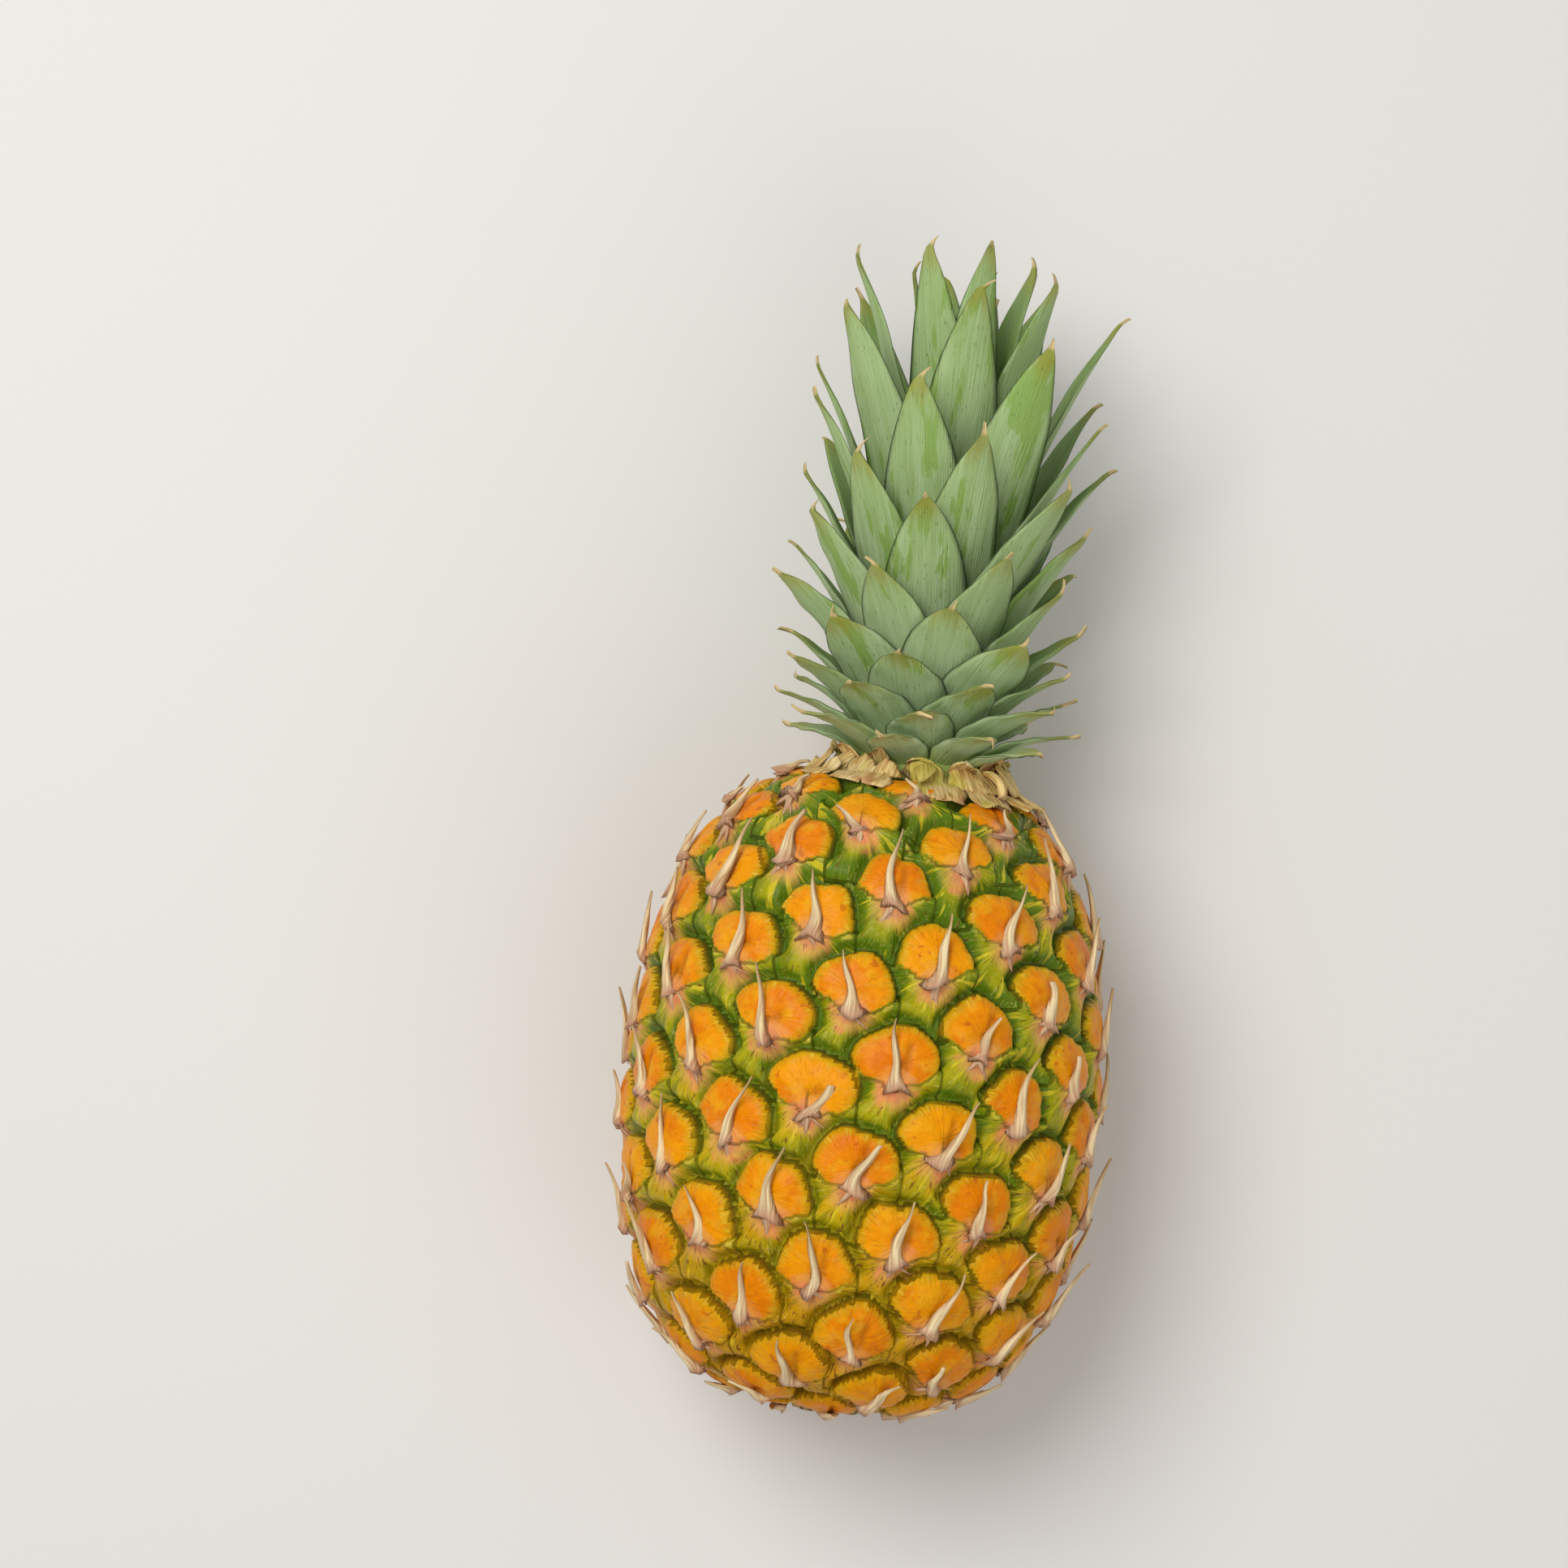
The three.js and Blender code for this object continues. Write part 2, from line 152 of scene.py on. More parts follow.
# Rings of bracts: how many, the foot's distance and height, length, half width, lift and curl
BRACT_RINGS = [
    (17, (32.0, -4.5), 13.0, 4.6, 2.45, 0.3),
    (15, (25.0, -2.0), 8.0, 4.4, 1.9, -0.2),
    (13, (17.0, 0.2), 7.0, 4.0, 0.9, 0.6),
    (5, (16.0, 0.6), 15.0, 2.4, 0.5, 2.8),
]
BRACT_STATIONS = 12
BRACT_ACROSS = 9

# The fruit's shoulder, which the bracts may lie on, starts at this place on the axis.
SHOULDER_START = 40.0

# The stub's outline: levels from inside the recess to the middle of the cut face, and shares of its radius
STUB_RADIUS = BASE_RADIUS - 3.2
STUB_SIDES = 72
STUB_OUTLINE = [
    (3.7, 1.05),
    (1.5, 1.03),
    (0, 1.0),
    (-1.6, 0.97),
    (-2.6, 0.93),
    (-2.75, 0.84),
    (-2.4, 0.7),
    (-2.1, 0.5),
    (-2.2, 0.3),
    (-2.0, 0.12),
]

# The photograph's view, in metres and degrees: straight down, from its scale and the fruit's place in it
CAMERA_OVER = (-0.0262, 0.0715)
CAMERA_DISTANCE = 1.14
CAMERA_ANGLE = 18.97
CAMERA_TURN = 5.8

# The place that both lights shine on, in metres
LIT_PLACE = (0, 0.05, 0.05)


def chance(n, k):
    """A repeatable number from 0 to 1 for piece n and use k."""
    value = math.sin(n * 12.9898 + k * 78.233) * 43758.5453
    return value - math.floor(value)


def spread(n, k, amount):
    """A repeatable number up to amount, to either side of 0."""
    return (2 * chance(n, k) - 1) * amount


def smooth(t):
    """A smooth rise from 0 to 1 as t does the same."""
    c = np.clip(t, 0, 1)
    return c * c * (3 - 2 * c)


def fruit_radius(y):
    """The fruit's radius, without eyes, at places on its axis."""
    up = y > WIDEST_Y
    x = np.abs(y - WIDEST_Y) / np.where(up, TOP_LENGTH, BASE_LENGTH)
    fall = 1 - np.minimum(x, 1) ** np.where(up, TOP_POWER, BASE_POWER)
    return FRUIT_RADIUS * fall ** (1 / np.where(up, TOP_ROUND, BASE_ROUND))


class Outline:
    """Steps along the fruit's outline: place, radius, slope, arc length and eye count at each."""

    def __init__(self, steps=4000):
        u = 0.5 - 0.5 * np.cos(np.pi * np.arange(steps + 1) / steps)
        self.y = BASE_Y + (NECK_Y - BASE_Y) * u
        self.r = fruit_radius(self.y)
        step = np.hypot(np.diff(self.y), np.diff(self.r))
        middle = (self.r[1:] + self.r[:-1]) / 2
        rise = EYE_RISE * (middle / FRUIT_RADIUS) ** CROWDING
        self.arc = np.concatenate([[0], np.cumsum(step)])
        self.count = np.concatenate([[0], np.cumsum(step / rise)])
        self.climb = np.gradient(self.y, self.arc)
        self.widen = np.gradient(self.r, self.arc)
        self.end = self.arc[-1]

    def at_arc(self, arc, name):
        return np.interp(arc, self.arc, getattr(self, name))


outline = Outline()


def fade(arc):
    """How much relief there is: it runs out beside the neck and the stem end."""
    return smooth(arc / FADE) * smooth((outline.end - arc) / FADE)


def skin_points(turn, arc, lift):
    """Points of the fruit's surface, raised by lift along the surface's own normal."""
    turn, arc, lift = np.broadcast_arrays(turn, arc, lift)
    out = outline.at_arc(arc, "r") + lift * outline.at_arc(arc, "climb")
    y = outline.at_arc(arc, "y") - lift * outline.at_arc(arc, "widen")
    return np.stack([np.sin(turn) * out, y, np.cos(turn) * out + AXIS_HEIGHT], axis=-1)


def find_eyes():
    """Every eye's number, turn, arc length, local radius and size."""
    marker = np.interp(MARKER_Y, outline.y, outline.count)
    found = []
    for n in range(math.ceil(-marker), math.floor(outline.count[-1] - marker) + 1):
        turn = GOLDEN * n + EYE_PHASE
        arc = np.interp(marker + n, outline.count, outline.arc)
        radius = np.interp(marker + n, outline.count, outline.r)
        cell = 2 * math.pi * radius * EYE_RISE * (radius / FRUIT_RADIUS) ** CROWDING
        arc -= SPIRAL_LEAN * math.sin(turn) * (radius / FRUIT_RADIUS)
        if BASE_MARGIN <= arc <= outline.end - NECK_MARGIN:
            found.append((n, turn, arc, outline.at_arc(arc, "r"), math.sqrt(cell)))
    return np.array(found)


eyes = find_eyes()
EYE_N, EYE_TURN, EYE_ARC, _, EYE_SIZE = eyes.T


def volume(points, faces):
    """Six times the volume inside a closed body. It is negative where the faces point inward."""
    fans = [(face[0], face[k], face[k + 1]) for face in faces for k in range(1, len(face) - 1)]
    a, b, c = points[np.array(fans).T]
    return float((a * np.cross(b, c)).sum())


def tube_faces(stations, around):
    """Faces between rings of points, and fans that close both ends around two points after the rings."""
    faces = []
    for s in range(stations - 1):
        for i in range(around):
            a = s * around + i
            b = s * around + (i + 1) % around
            faces.append((a, b, b + around, a + around))
    total = stations * around
    last = total - around
    for i in range(around):
        j = (i + 1) % around
        faces.append((j, i, total))
        faces.append((last + i, last + j, total + 1))
    return faces


class Gather:
    """Points, faces and named values of many small closed bodies, collected into one mesh."""

    def __init__(self):
        self.points = []
        self.faces = []
        self.values = {}
        self.total = 0

    def add(self, points, faces, values):
        self.points.append(points)
        self.faces += [tuple(i + self.total for i in face) for face in faces]
        for name, value in values.items():
            self.values.setdefault(name, []).append(value)
        self.total += len(points)

    def tube(self, sections, values):
        """A body of closed cross-sections, an array (stations, around, 3), with both ends capped."""
        faces = tube_faces(*sections.shape[:2])
        ends = [sections[0].mean(axis=0), sections[-1].mean(axis=0)]
        points = np.concatenate([sections.reshape(-1, 3), ends])
        if volume(points, faces) < 0:
            faces = [face[::-1] for face in faces]
        listed = {}
        for name, value in values.items():
            flat = value.reshape((-1,) + value.shape[2:])
            caps = np.stack([value[0].mean(axis=0), value[-1].mean(axis=0)])
            listed[name] = np.concatenate([flat, caps])
        self.add(points, faces, listed)

    def piece(self, name, material, slot, node=None):
        values = {key: np.concatenate(parts) for key, parts in self.values.items()}
        return new_piece(name, np.concatenate(self.points), self.faces, values, material, node)


def new_piece(name, points, faces, values, material, node=None):
    """A smooth mesh from points in millimetres. It rides on the fruit's body."""
    data = bpy.data.meshes.new(name)
    data.from_pydata((np.asarray(points) * MM).tolist(), [], faces)
    for key, value in values.items():
        vector = value.ndim == 2
        layer = data.attributes.new(key, "FLOAT_VECTOR" if vector else "FLOAT", "POINT")
        layer.data.foreach_set("vector" if vector else "value", value.astype(np.float32).ravel())
    data.polygons.foreach_set("use_smooth", [True] * len(data.polygons))
    data.materials.append(material)
    data.update()
    piece = bpy.data.objects.new(name, data)
    bpy.context.scene.collection.objects.link(piece)
    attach(piece, "root")
    if node:
        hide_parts(node)
    return piece


class Paint:
    """Short names for the nodes that a procedural material is made of."""

    def __init__(self, name, roughness=0.5):
        self.material = bpy.data.materials.new(name)
        self.material.use_nodes = True
        self.tree = self.material.node_tree
        self.shader = self.tree.nodes["Principled BSDF"]
        self.shader.inputs["Roughness"].default_value = roughness
        self.shader.inputs["Specular IOR Level"].default_value = 0.2
        self.place = self.tree.nodes.new("ShaderNodeTexCoord").outputs["Object"]

    def put(self, socket, value):
        if isinstance(value, bpy.types.NodeSocket):
            self.tree.links.new(value, socket)
        else:
            socket.default_value = value

    def math(self, kind, *numbers):
        node = self.tree.nodes.new("ShaderNodeMath")
        node.operation = kind
        for socket, number in zip(node.inputs, numbers):
            self.put(socket, number)
        return node.outputs[0]

    def times(self, a, b):
        return self.math("MULTIPLY", a, b)

    def plus(self, base, extra, amount=1.0):
        """The base, and an amount of something else added to it."""
        return self.math("MULTIPLY_ADD", extra, amount, base)

    def number(self, name):
        """A number kept on the mesh."""
        node = self.tree.nodes.new("ShaderNodeAttribute")
        node.attribute_name = name
        return node.outputs["Fac"]

    def vector(self, name):
        """A vector kept on the mesh."""
        node = self.tree.nodes.new("ShaderNodeAttribute")
        node.attribute_name = name
        return node.outputs["Vector"]

    def axis(self, vector, which):
        node = self.tree.nodes.new("ShaderNodeSeparateXYZ")
        self.put(node.inputs[0], vector)
        return node.outputs[which]

    def stretch(self, vector, scale):
        node = self.tree.nodes.new("ShaderNodeMapping")
        self.put(node.inputs["Vector"], vector)
        node.inputs["Scale"].default_value = scale
        return node.outputs[0]

    def noise(self, vector, scale, detail, rough=0.5):
        node = self.tree.nodes.new("ShaderNodeTexNoise")
        self.put(node.inputs["Vector"], vector)
        node.inputs["Scale"].default_value = scale
        node.inputs["Detail"].default_value = detail
        node.inputs["Roughness"].default_value = rough
        return node.outputs["Fac"]

    def fibres(self, vector, across, along, detail, rough=0.5):
        """Noise that is finer across the lines of a vector kept on the mesh than along them."""
        return self.noise(self.stretch(vector, (across, along, 1)), 1.0, detail, rough)

    def step(self, value, low, high):
        """A smooth rise from 0 at low to 1 at high, or a fall where low is the larger."""
        node = self.tree.nodes.new("ShaderNodeMapRange")
        node.interpolation_type = "SMOOTHSTEP"
        self.put(node.inputs["Value"], value)
        if low < high:
            ends = (low, high, 0.0, 1.0)
        else:
            ends = (high, low, 1.0, 0.0)
        for key, end in zip(("From Min", "From Max", "To Min", "To Max"), ends):
            node.inputs[key].default_value = end
        return node.outputs["Result"]

    def band(self, value, middle, far, near):
        """1 up to near from the middle, falling to 0 at far from it."""
        off = self.math("ABSOLUTE", self.math("SUBTRACT", value, middle))
        return self.step(off, far, near)

    def mix(self, share, a, b):
        node = self.tree.nodes.new("ShaderNodeMix")
        node.data_type = "RGBA"
        self.put(node.inputs[0], share)
        for socket, value in ((node.inputs[6], a), (node.inputs[7], b)):
            self.put(socket, (*value, 1) if isinstance(value, tuple) else value)
        return node.outputs[2]

    def lay(self, color, tone, share, strength=1.0):
        """The colour with a tone laid over it where share says, and no more strongly than strength."""
        if strength < 1:
            share = self.times(share, strength)
        return self.mix(share, color, tone)

    def shade(self, color, share, low, high):
        """The colour times a grey that runs from low to high with share."""
        node = self.tree.nodes.new("ShaderNodeVectorMath")
        node.operation = "SCALE"
        self.put(node.inputs[0], color)
        self.put(node.inputs["Scale"], self.plus(low, share, high - low))
        return node.outputs[0]

    def finish(self, color, height=None, depth=0.0, roughness=None):
        self.put(self.shader.inputs["Base Color"], color)
        if roughness is not None:
            self.put(self.shader.inputs["Roughness"], roughness)
        if height is not None:
            bump = self.tree.nodes.new("ShaderNodeBump")
            bump.inputs["Distance"].default_value = depth
            self.put(bump.inputs["Height"], height)
            self.put(self.shader.inputs["Normal"], bump.outputs[0])
        return self.material


# Colours of the discs. All colours are linear red, green and blue.
DEEP_AMBER = (0.83, 0.23, 0.0)
AMBER = (0.90, 0.34, 0.0)
GOLD_BLOTCH = (0.90, 0.44, 0.008)
RED_BLOTCH = (0.74, 0.16, 0.0)
PALE_FLESH = (0.80, 0.42, 0.05)
OLIVE_RIM = (0.56, 0.36, 0.003)
GREEN_RIM = (0.27, 0.29, 0.004)
PALE_TICK = (0.90, 0.62, 0.06)
RED_SORE = (0.50, 0.09, 0.006)
BROWN_CREASE = (0.42, 0.13, 0.006)

# Colours of the skirts and grooves
SKIRT_YELLOW = (0.64, 0.38, 0.002)
SKIRT_LIME = (0.38, 0.36, 0.003)
SKIRT_GREEN = (0.105, 0.19, 0.004)
SKIRT_GOLD = (0.50, 0.23, 0.002)
# Painted shade for the skirts' folds
PAINTED_FOLD_SHADE = (0.13, 0.15, 0.004)
LIGHT_FOLD = (0.76, 0.60, 0.02)
PALE_STRAND = (0.85, 0.74, 0.20)
# The lip's tone is partly its own yellow rim and partly a painted highlight.
PALE_LIP_AND_HIGHLIGHT = (0.84, 0.66, 0.08)
DRY_SEAM = (0.24, 0.10, 0.012)
SALMON = (0.82, 0.40, 0.13)
MAUVE = (0.66, 0.22, 0.13)
PINK_BLUSH = (0.84, 0.26, 0.11)
# The groove tones are partly the grooves' own colour and partly painted shade.
GROOVE_GREEN_AND_SHADE = (0.085, 0.14, 0.004)
GROOVE_OCHRE_AND_SHADE = (0.46, 0.33, 0.002)
RIPE_OCHRE = (0.56, 0.21, 0.001)
DRY_SCRATCH = (0.16, 0.055, 0.012)
SCAR_DARK = (0.16, 0.085, 0.025)
SCAR_PALE = (0.46, 0.29, 0.11)

# Colours of the dry spines
SPINE_BROWN = (0.50, 0.28, 0.12)
SPINE_CREAM = (0.88, 0.70, 0.39)
# One side of every spine is paler: a painted highlight.
SPINE_PAINTED_HIGHLIGHT = (0.93, 0.81, 0.53)
SPINE_FOOT_PINK = (0.50, 0.23, 0.15)
SPINE_TIP_TAN = (0.50, 0.31, 0.12)

# Colours of the leaves
BLOOM_PALE = (0.40, 0.52, 0.29)
BLOOM_DEEP = (0.31, 0.42, 0.19)
BLOOM_CLOUD = (0.50, 0.61, 0.38)
RUBBED_GREEN = (0.17, 0.31, 0.025)
UPPER_GREEN = (0.35, 0.54, 0.14)
INNER_GREEN = (0.15, 0.27, 0.06)
# The lowest leaves' bloom tone is partly their own colour and partly painted light on the shaded lower crown.
LOW_BLOOM_AND_PAINTED_LIGHT = (0.60, 0.76, 0.44)
FRESH_GREEN = (0.42, 0.55, 0.06)
OLIVE_BROWN = (0.36, 0.31, 0.03)
LEAF_SCRATCH = (0.09, 0.13, 0.03)
DARK_MARGIN = (0.06, 0.10, 0.03)
DRY_TIP = (0.72, 0.56, 0.27)

# Colours of the bracts, the cut stem and the floor
PAPER_BROWN = (0.46, 0.26, 0.07)
PAPER_TAN = (0.89, 0.67, 0.28)
PAPER_PALE = (0.94, 0.80, 0.46)
PAPER_GREEN = (0.50, 0.46, 0.04)
PAPER_RED = (0.55, 0.20, 0.10)
WOOD_DARK = (0.20, 0.11, 0.045)
WOOD_PALE = (0.55, 0.38, 0.19)
WOOD_OLIVE = (0.33, 0.26, 0.10)
FLOOR_GREY = (0.80, 0.79, 0.77)


class RindPaint(Paint):
    """The rind's material, with the numbers kept on its mesh and the noises that its parts share."""

    def __init__(self):
        super().__init__("rind")
        self.disc = self.number("disc")
        self.groove = self.number("groove")
        self.away = self.number("away")
        self.root = self.number("root")
        self.ripe = self.number("ripe")
        self.streak = self.vector("streak")
        self.cloud = self.noise(self.place, 90, 3)
        self.blotch = self.noise(self.place, 150, 2, 0.6)
        self.fine = self.noise(self.place, 900, 2)
        self.rays = self.fibres(self.streak, 9, 0.5, 2)
        self.folds = self.fibres(self.streak, 4.2, 0.35, 2)
        self.wide_rays = self.fibres(self.streak, 2.2, 0.3, 1)
        self.rim = self.step(self.plus(self.away, self.rays, 0.3), -0.17, 0.12)


def disc_color(p):
    """Amber to deep orange, with paler flesh in places and an olive yellow, wrinkled rim."""
    color = p.mix(p.step(p.plus(p.cloud, p.number("tone")), 0.25, 0.8), DEEP_AMBER, AMBER)
    color = p.lay(color, GOLD_BLOTCH, p.step(p.blotch, 0.52, 0.66), 0.6)
    color = p.lay(color, RED_BLOTCH, p.step(p.blotch, 0.44, 0.32), 0.6)
    color = p.lay(color, PALE_FLESH, p.step(p.noise(p.place, 260, 2), 0.55, 0.75), 0.4)
    color = p.lay(color, OLIVE_RIM, p.rim, 0.8)
    green_rim = p.step(p.plus(p.away, p.cloud, 0.25), 0.02, 0.17)
    color = p.lay(color, GREEN_RIM, p.times(green_rim, p.step(p.ripe, 0.8, 0.3)))
    ticks = p.times(p.step(p.rays, 0.54, 0.6), p.band(p.away, -0.12, 0.12, 0.03))
    ticks = p.times(ticks, p.step(p.wide_rays, 0.35, 0.6))
    color = p.lay(color, PALE_TICK, ticks, 0.5)
    color = p.lay(color, RED_SORE, p.step(p.noise(p.place, 420, 1), 0.66, 0.76), 0.6)
    color = p.lay(color, BROWN_CREASE, p.number("crease"), 0.6)
    return p.shade(color, p.fine, 0.84, 1.12)


def skirt_color(p):
    """Yellow by the spine's foot and on the raised edge, and green towards the grooves and the crown. The
    raised lip is lighter, partly its own colour and partly a painted highlight.
    """
    edge = p.step(p.away, 0.35, 0.05)
    green = p.plus(p.times(p.root, 0.55), p.wide_rays)
    green = p.plus(green, edge, 0.4)
    green = p.plus(p.plus(green, 0.28), p.ripe, -1.1)
    color = p.mix(p.step(green, 0.25, 0.7), SKIRT_YELLOW, SKIRT_LIME)
    color = p.lay(color, SKIRT_GREEN, p.step(green, 0.65, 1.15))
    golden = p.step(p.plus(p.ripe, p.cloud, 0.5), 0.75, 1.15)
    color = p.lay(color, SKIRT_GOLD, golden, 0.7)
    # Painted shade: soft darker green streaks along the skirt's folds.
    color = p.lay(color, PAINTED_FOLD_SHADE, p.step(p.folds, 0.56, 0.68), 0.5)
    color = p.lay(color, LIGHT_FOLD, p.step(p.folds, 0.40, 0.34), 0.65)
    color = p.lay(color, PALE_STRAND, p.band(p.rays, 0.5, 0.012, 0.004), 0.35)
    color = p.shade(color, p.fine, 0.8, 1.16)
    # The raised upper lip is lighter: partly its own yellow rim, and partly a painted highlight.
    lip_and_highlight = p.times(p.step(p.number("lip"), 0.35, 0.8), p.step(p.wide_rays, 0.35, 0.6))
    return p.lay(color, PALE_LIP_AND_HIGHLIGHT, lip_and_highlight, 0.6)


def foot_color(p, color):
    """Salmon to mauve skin around the spine's foot, laid over the colour."""
    around_foot = p.plus(p.plus(p.root, p.cloud, 0.25), p.wide_rays, 0.35)
    color = p.lay(color, SALMON, p.step(around_foot, 0.92, 0.6), 0.6)
    color = p.lay(color, MAUVE, p.step(around_foot, 0.66, 0.46), 0.65)
    patches = p.step(p.noise(p.place, 190, 2), 0.55, 0.65)
    return p.lay(color, PINK_BLUSH, p.times(p.step(around_foot, 0.95, 0.7), patches), 0.6)


def rind_material():
    """Orange discs, yellow to green skirts streaked from each spine's foot, and dark grooves, their darkness
    partly painted shade.
    """
    p = RindPaint()
    p.put(p.shader.inputs["Specular IOR Level"], p.plus(0.17, p.ripe, -0.13))
    color = p.mix(p.step(p.disc, 0.35, 0.65), skirt_color(p), disc_color(p))
    # A thin dry brown line, broken in places, where skirt and disc meet
    seam = p.times(p.band(p.disc, 0.45, 0.3, 0.05), p.step(p.blotch, 0.42, 0.58))
    color = p.lay(color, DRY_SEAM, seam, 0.55)
    color = foot_color(p, color)
    # Grooves are dark green by the crown, and fainter and ochre by the stem end. Their tone is partly the
    # grooves' own green and partly painted shade in the recesses.
    groove_and_shade = p.step(p.plus(p.groove, p.cloud, 0.9), 0.95, 1.45)
    groove_tone_and_shade = p.mix(p.step(p.ripe, 0.35, 0.75), GROOVE_GREEN_AND_SHADE, GROOVE_OCHRE_AND_SHADE)
    color = p.lay(color, groove_tone_and_shade, p.times(groove_and_shade, p.plus(0.98, p.ripe, -0.5)))
    color = p.lay(color, RIPE_OCHRE, p.step(p.ripe, 0.5, 1.0), 0.3)
    # Short dry scratches, more of them towards the stem end
    scratch = p.step(p.plus(p.fibres(p.streak, 14, 1.3, 2), p.ripe, 0.1), 0.695, 0.725)
    color = p.lay(color, DRY_SCRATCH, p.times(scratch, p.plus(0.8, p.disc, -0.5)))
    # The dry scar around the stem
    scar = p.step(p.plus(p.number("scar"), p.rays, 0.7), 0.65, 1.0)
    scar_tone = p.mix(p.step(p.fine, 0.35, 0.65), SCAR_DARK, SCAR_PALE)
    color = p.lay(color, scar_tone, scar, 0.85)
    height = p.times(p.times(p.rays, p.rim), 0.5)
    height = p.plus(height, p.folds, 0.7)
    height = p.plus(height, p.fine, 0.35)
    height = p.plus(height, p.blotch, 0.6)
    return p.finish(color, height, 0.0005, p.plus(0.22, p.fine, 0.25))


def spine_material():
    """Dry cream spines, pinkish brown at the foot and tan at the tip, with fibres along them, and a painted
    highlight down one side.
    """
    p = Paint("dry_spine", 0.65)
    grain = p.vector("grain")
    across = p.axis(grain, 0)
    along = p.axis(grain, 1)
    fibre = p.fibres(grain, 2.2, 0.12, 3)
    color = p.mix(p.step(fibre, 0.35, 0.65), SPINE_BROWN, SPINE_CREAM)
    # Painted highlight: one side of every spine is paler, as if lit from that side.
    color = p.lay(color, SPINE_PAINTED_HIGHLIGHT, p.step(across, 1.1, 0.2), 0.3)
    color = p.lay(color, SPINE_FOOT_PINK, p.step(p.plus(along, fibre, 3.5), 5.6, 1.6), 0.7)
    color = p.lay(color, SPINE_TIP_TAN, p.step(p.plus(along, fibre, 3.0), 11.5, 15.5), 0.65)
    return p.finish(color, fibre, 0.0004)


def leaf_material():
    """Grey-green wax bloom with rubbed streaks, fine lines, dark margins and dry tips."""
    p = Paint("leaf")
    grain = p.vector("grain")
    place = p.vector("place")
    along = p.axis(place, 0)
    side = p.axis(place, 1)
    inner = p.axis(place, 2)
    low = p.number("low")
    past_blade = p.number("dry")
    lines = p.fibres(grain, 3.5, 0.06, 3)
    bands = p.fibres(grain, 0.5, 0.03, 3)
    patch = p.fibres(grain, 0.16, 0.035, 3, 0.6)

    color = p.mix(p.step(bands, 0.35, 0.7), BLOOM_PALE, BLOOM_DEEP)
    color = p.lay(color, BLOOM_CLOUD, p.step(p.noise(p.place, 60, 3), 0.45, 0.7), 0.35)
    # The bloom is rubbed off in ragged patches, more of them towards the tip.
    rubbed = p.plus(p.plus(patch, lines, 0.22), along, 0.16)
    color = p.lay(color, RUBBED_GREEN, p.step(rubbed, 0.8, 0.815), 0.75)
    color = p.shade(color, lines, 0.82, 1.34)
    upper = p.times(p.step(along, 0.35, 0.95), p.math("SUBTRACT", 1.0, low))
    color = p.lay(color, UPPER_GREEN, upper, 0.45)
    color = p.lay(color, INNER_GREEN, inner, 0.5)
    # The lowest leaves are paler, with a fresh green foot. Their lighter bloom is partly their own colour and
    # partly painted light that brightens the shaded lower crown.
    color = p.lay(color, LOW_BLOOM_AND_PAINTED_LIGHT, low, 0.65)
    color = p.lay(color, FRESH_GREEN, p.times(p.step(along, 0.4, 0.1), low), 0.7)
    color = p.lay(color, OLIVE_BROWN, p.step(p.plus(past_blade, bands, 14.0), -2.0, 6.0), 0.6)
    color = p.lay(color, LEAF_SCRATCH, p.step(p.fibres(grain, 2.8, 0.4, 2), 0.665, 0.695), 0.65)
    color = p.lay(color, DARK_MARGIN, p.step(p.math("ABSOLUTE", side), 0.93, 0.985), 0.8)
    color = p.lay(color, DRY_TIP, p.step(p.plus(past_blade, bands, 2.0), 0.4, 1.6))
    return p.finish(color, lines, 0.00035, p.plus(0.45, bands, 0.2))


def papery_material():
    """Dry collar bracts: tan-brown paper with darker veins, and yellow green or red brown in places."""
    p = Paint("papery_bract", 0.7)
    fibre = p.fibres(p.vector("grain"), 1.8, 0.15, 4)
    blush = p.noise(p.place, 85, 2)
    color = p.mix(p.step(fibre, 0.35, 0.65), PAPER_BROWN, PAPER_TAN)
    color = p.lay(color, PAPER_PALE, p.step(p.noise(p.place, 150, 3), 0.5, 0.7), 0.5)
    color = p.lay(color, PAPER_GREEN, p.step(blush, 0.54, 0.64), 0.6)
    color = p.lay(color, PAPER_RED, p.step(blush, 0.42, 0.34), 0.55)
    return p.finish(color, fibre, 0.0005)


def wood_material():
    """The cut stem's fibrous, dried face."""
    p = Paint("cut_stem", 0.85)
    spots = p.noise(p.stretch(p.place, (1, 0.15, 1)), 1500, 4)
    color = p.mix(p.step(spots, 0.35, 0.65), WOOD_DARK, WOOD_PALE)
    color = p.lay(color, WOOD_OLIVE, p.step(p.noise(p.place, 220, 3), 0.5, 0.7), 0.5)
    return p.finish(color, spots, 0.0008)


def vary(k):
    """A repeatable number from -1 to 1 for every eye, and another set of them for another k."""
    return np.sin(k * EYE_N)


def disc_edge(angle):
    """Every disc's radius at angles around it. The edge is wavy, and some discs have a cleft on top."""
    waves = 0.45 * np.sin(3 * angle + EYE_N) + 0.3 * np.sin(5 * angle + 2.3 * EYE_N)
    cleft = 0.1 * (vary(4.9) > 0.2) * np.exp(-((angle - 0.3 * vary(1)) / 0.3) ** 2)
    larger_by_stem = 0.05 * smooth((0.4 - EYE_ARC / outline.end) / 0.3)
    return DISC_RADIUS * (1 + 0.04 * vary(7.1) + larger_by_stem - cleft) + waves


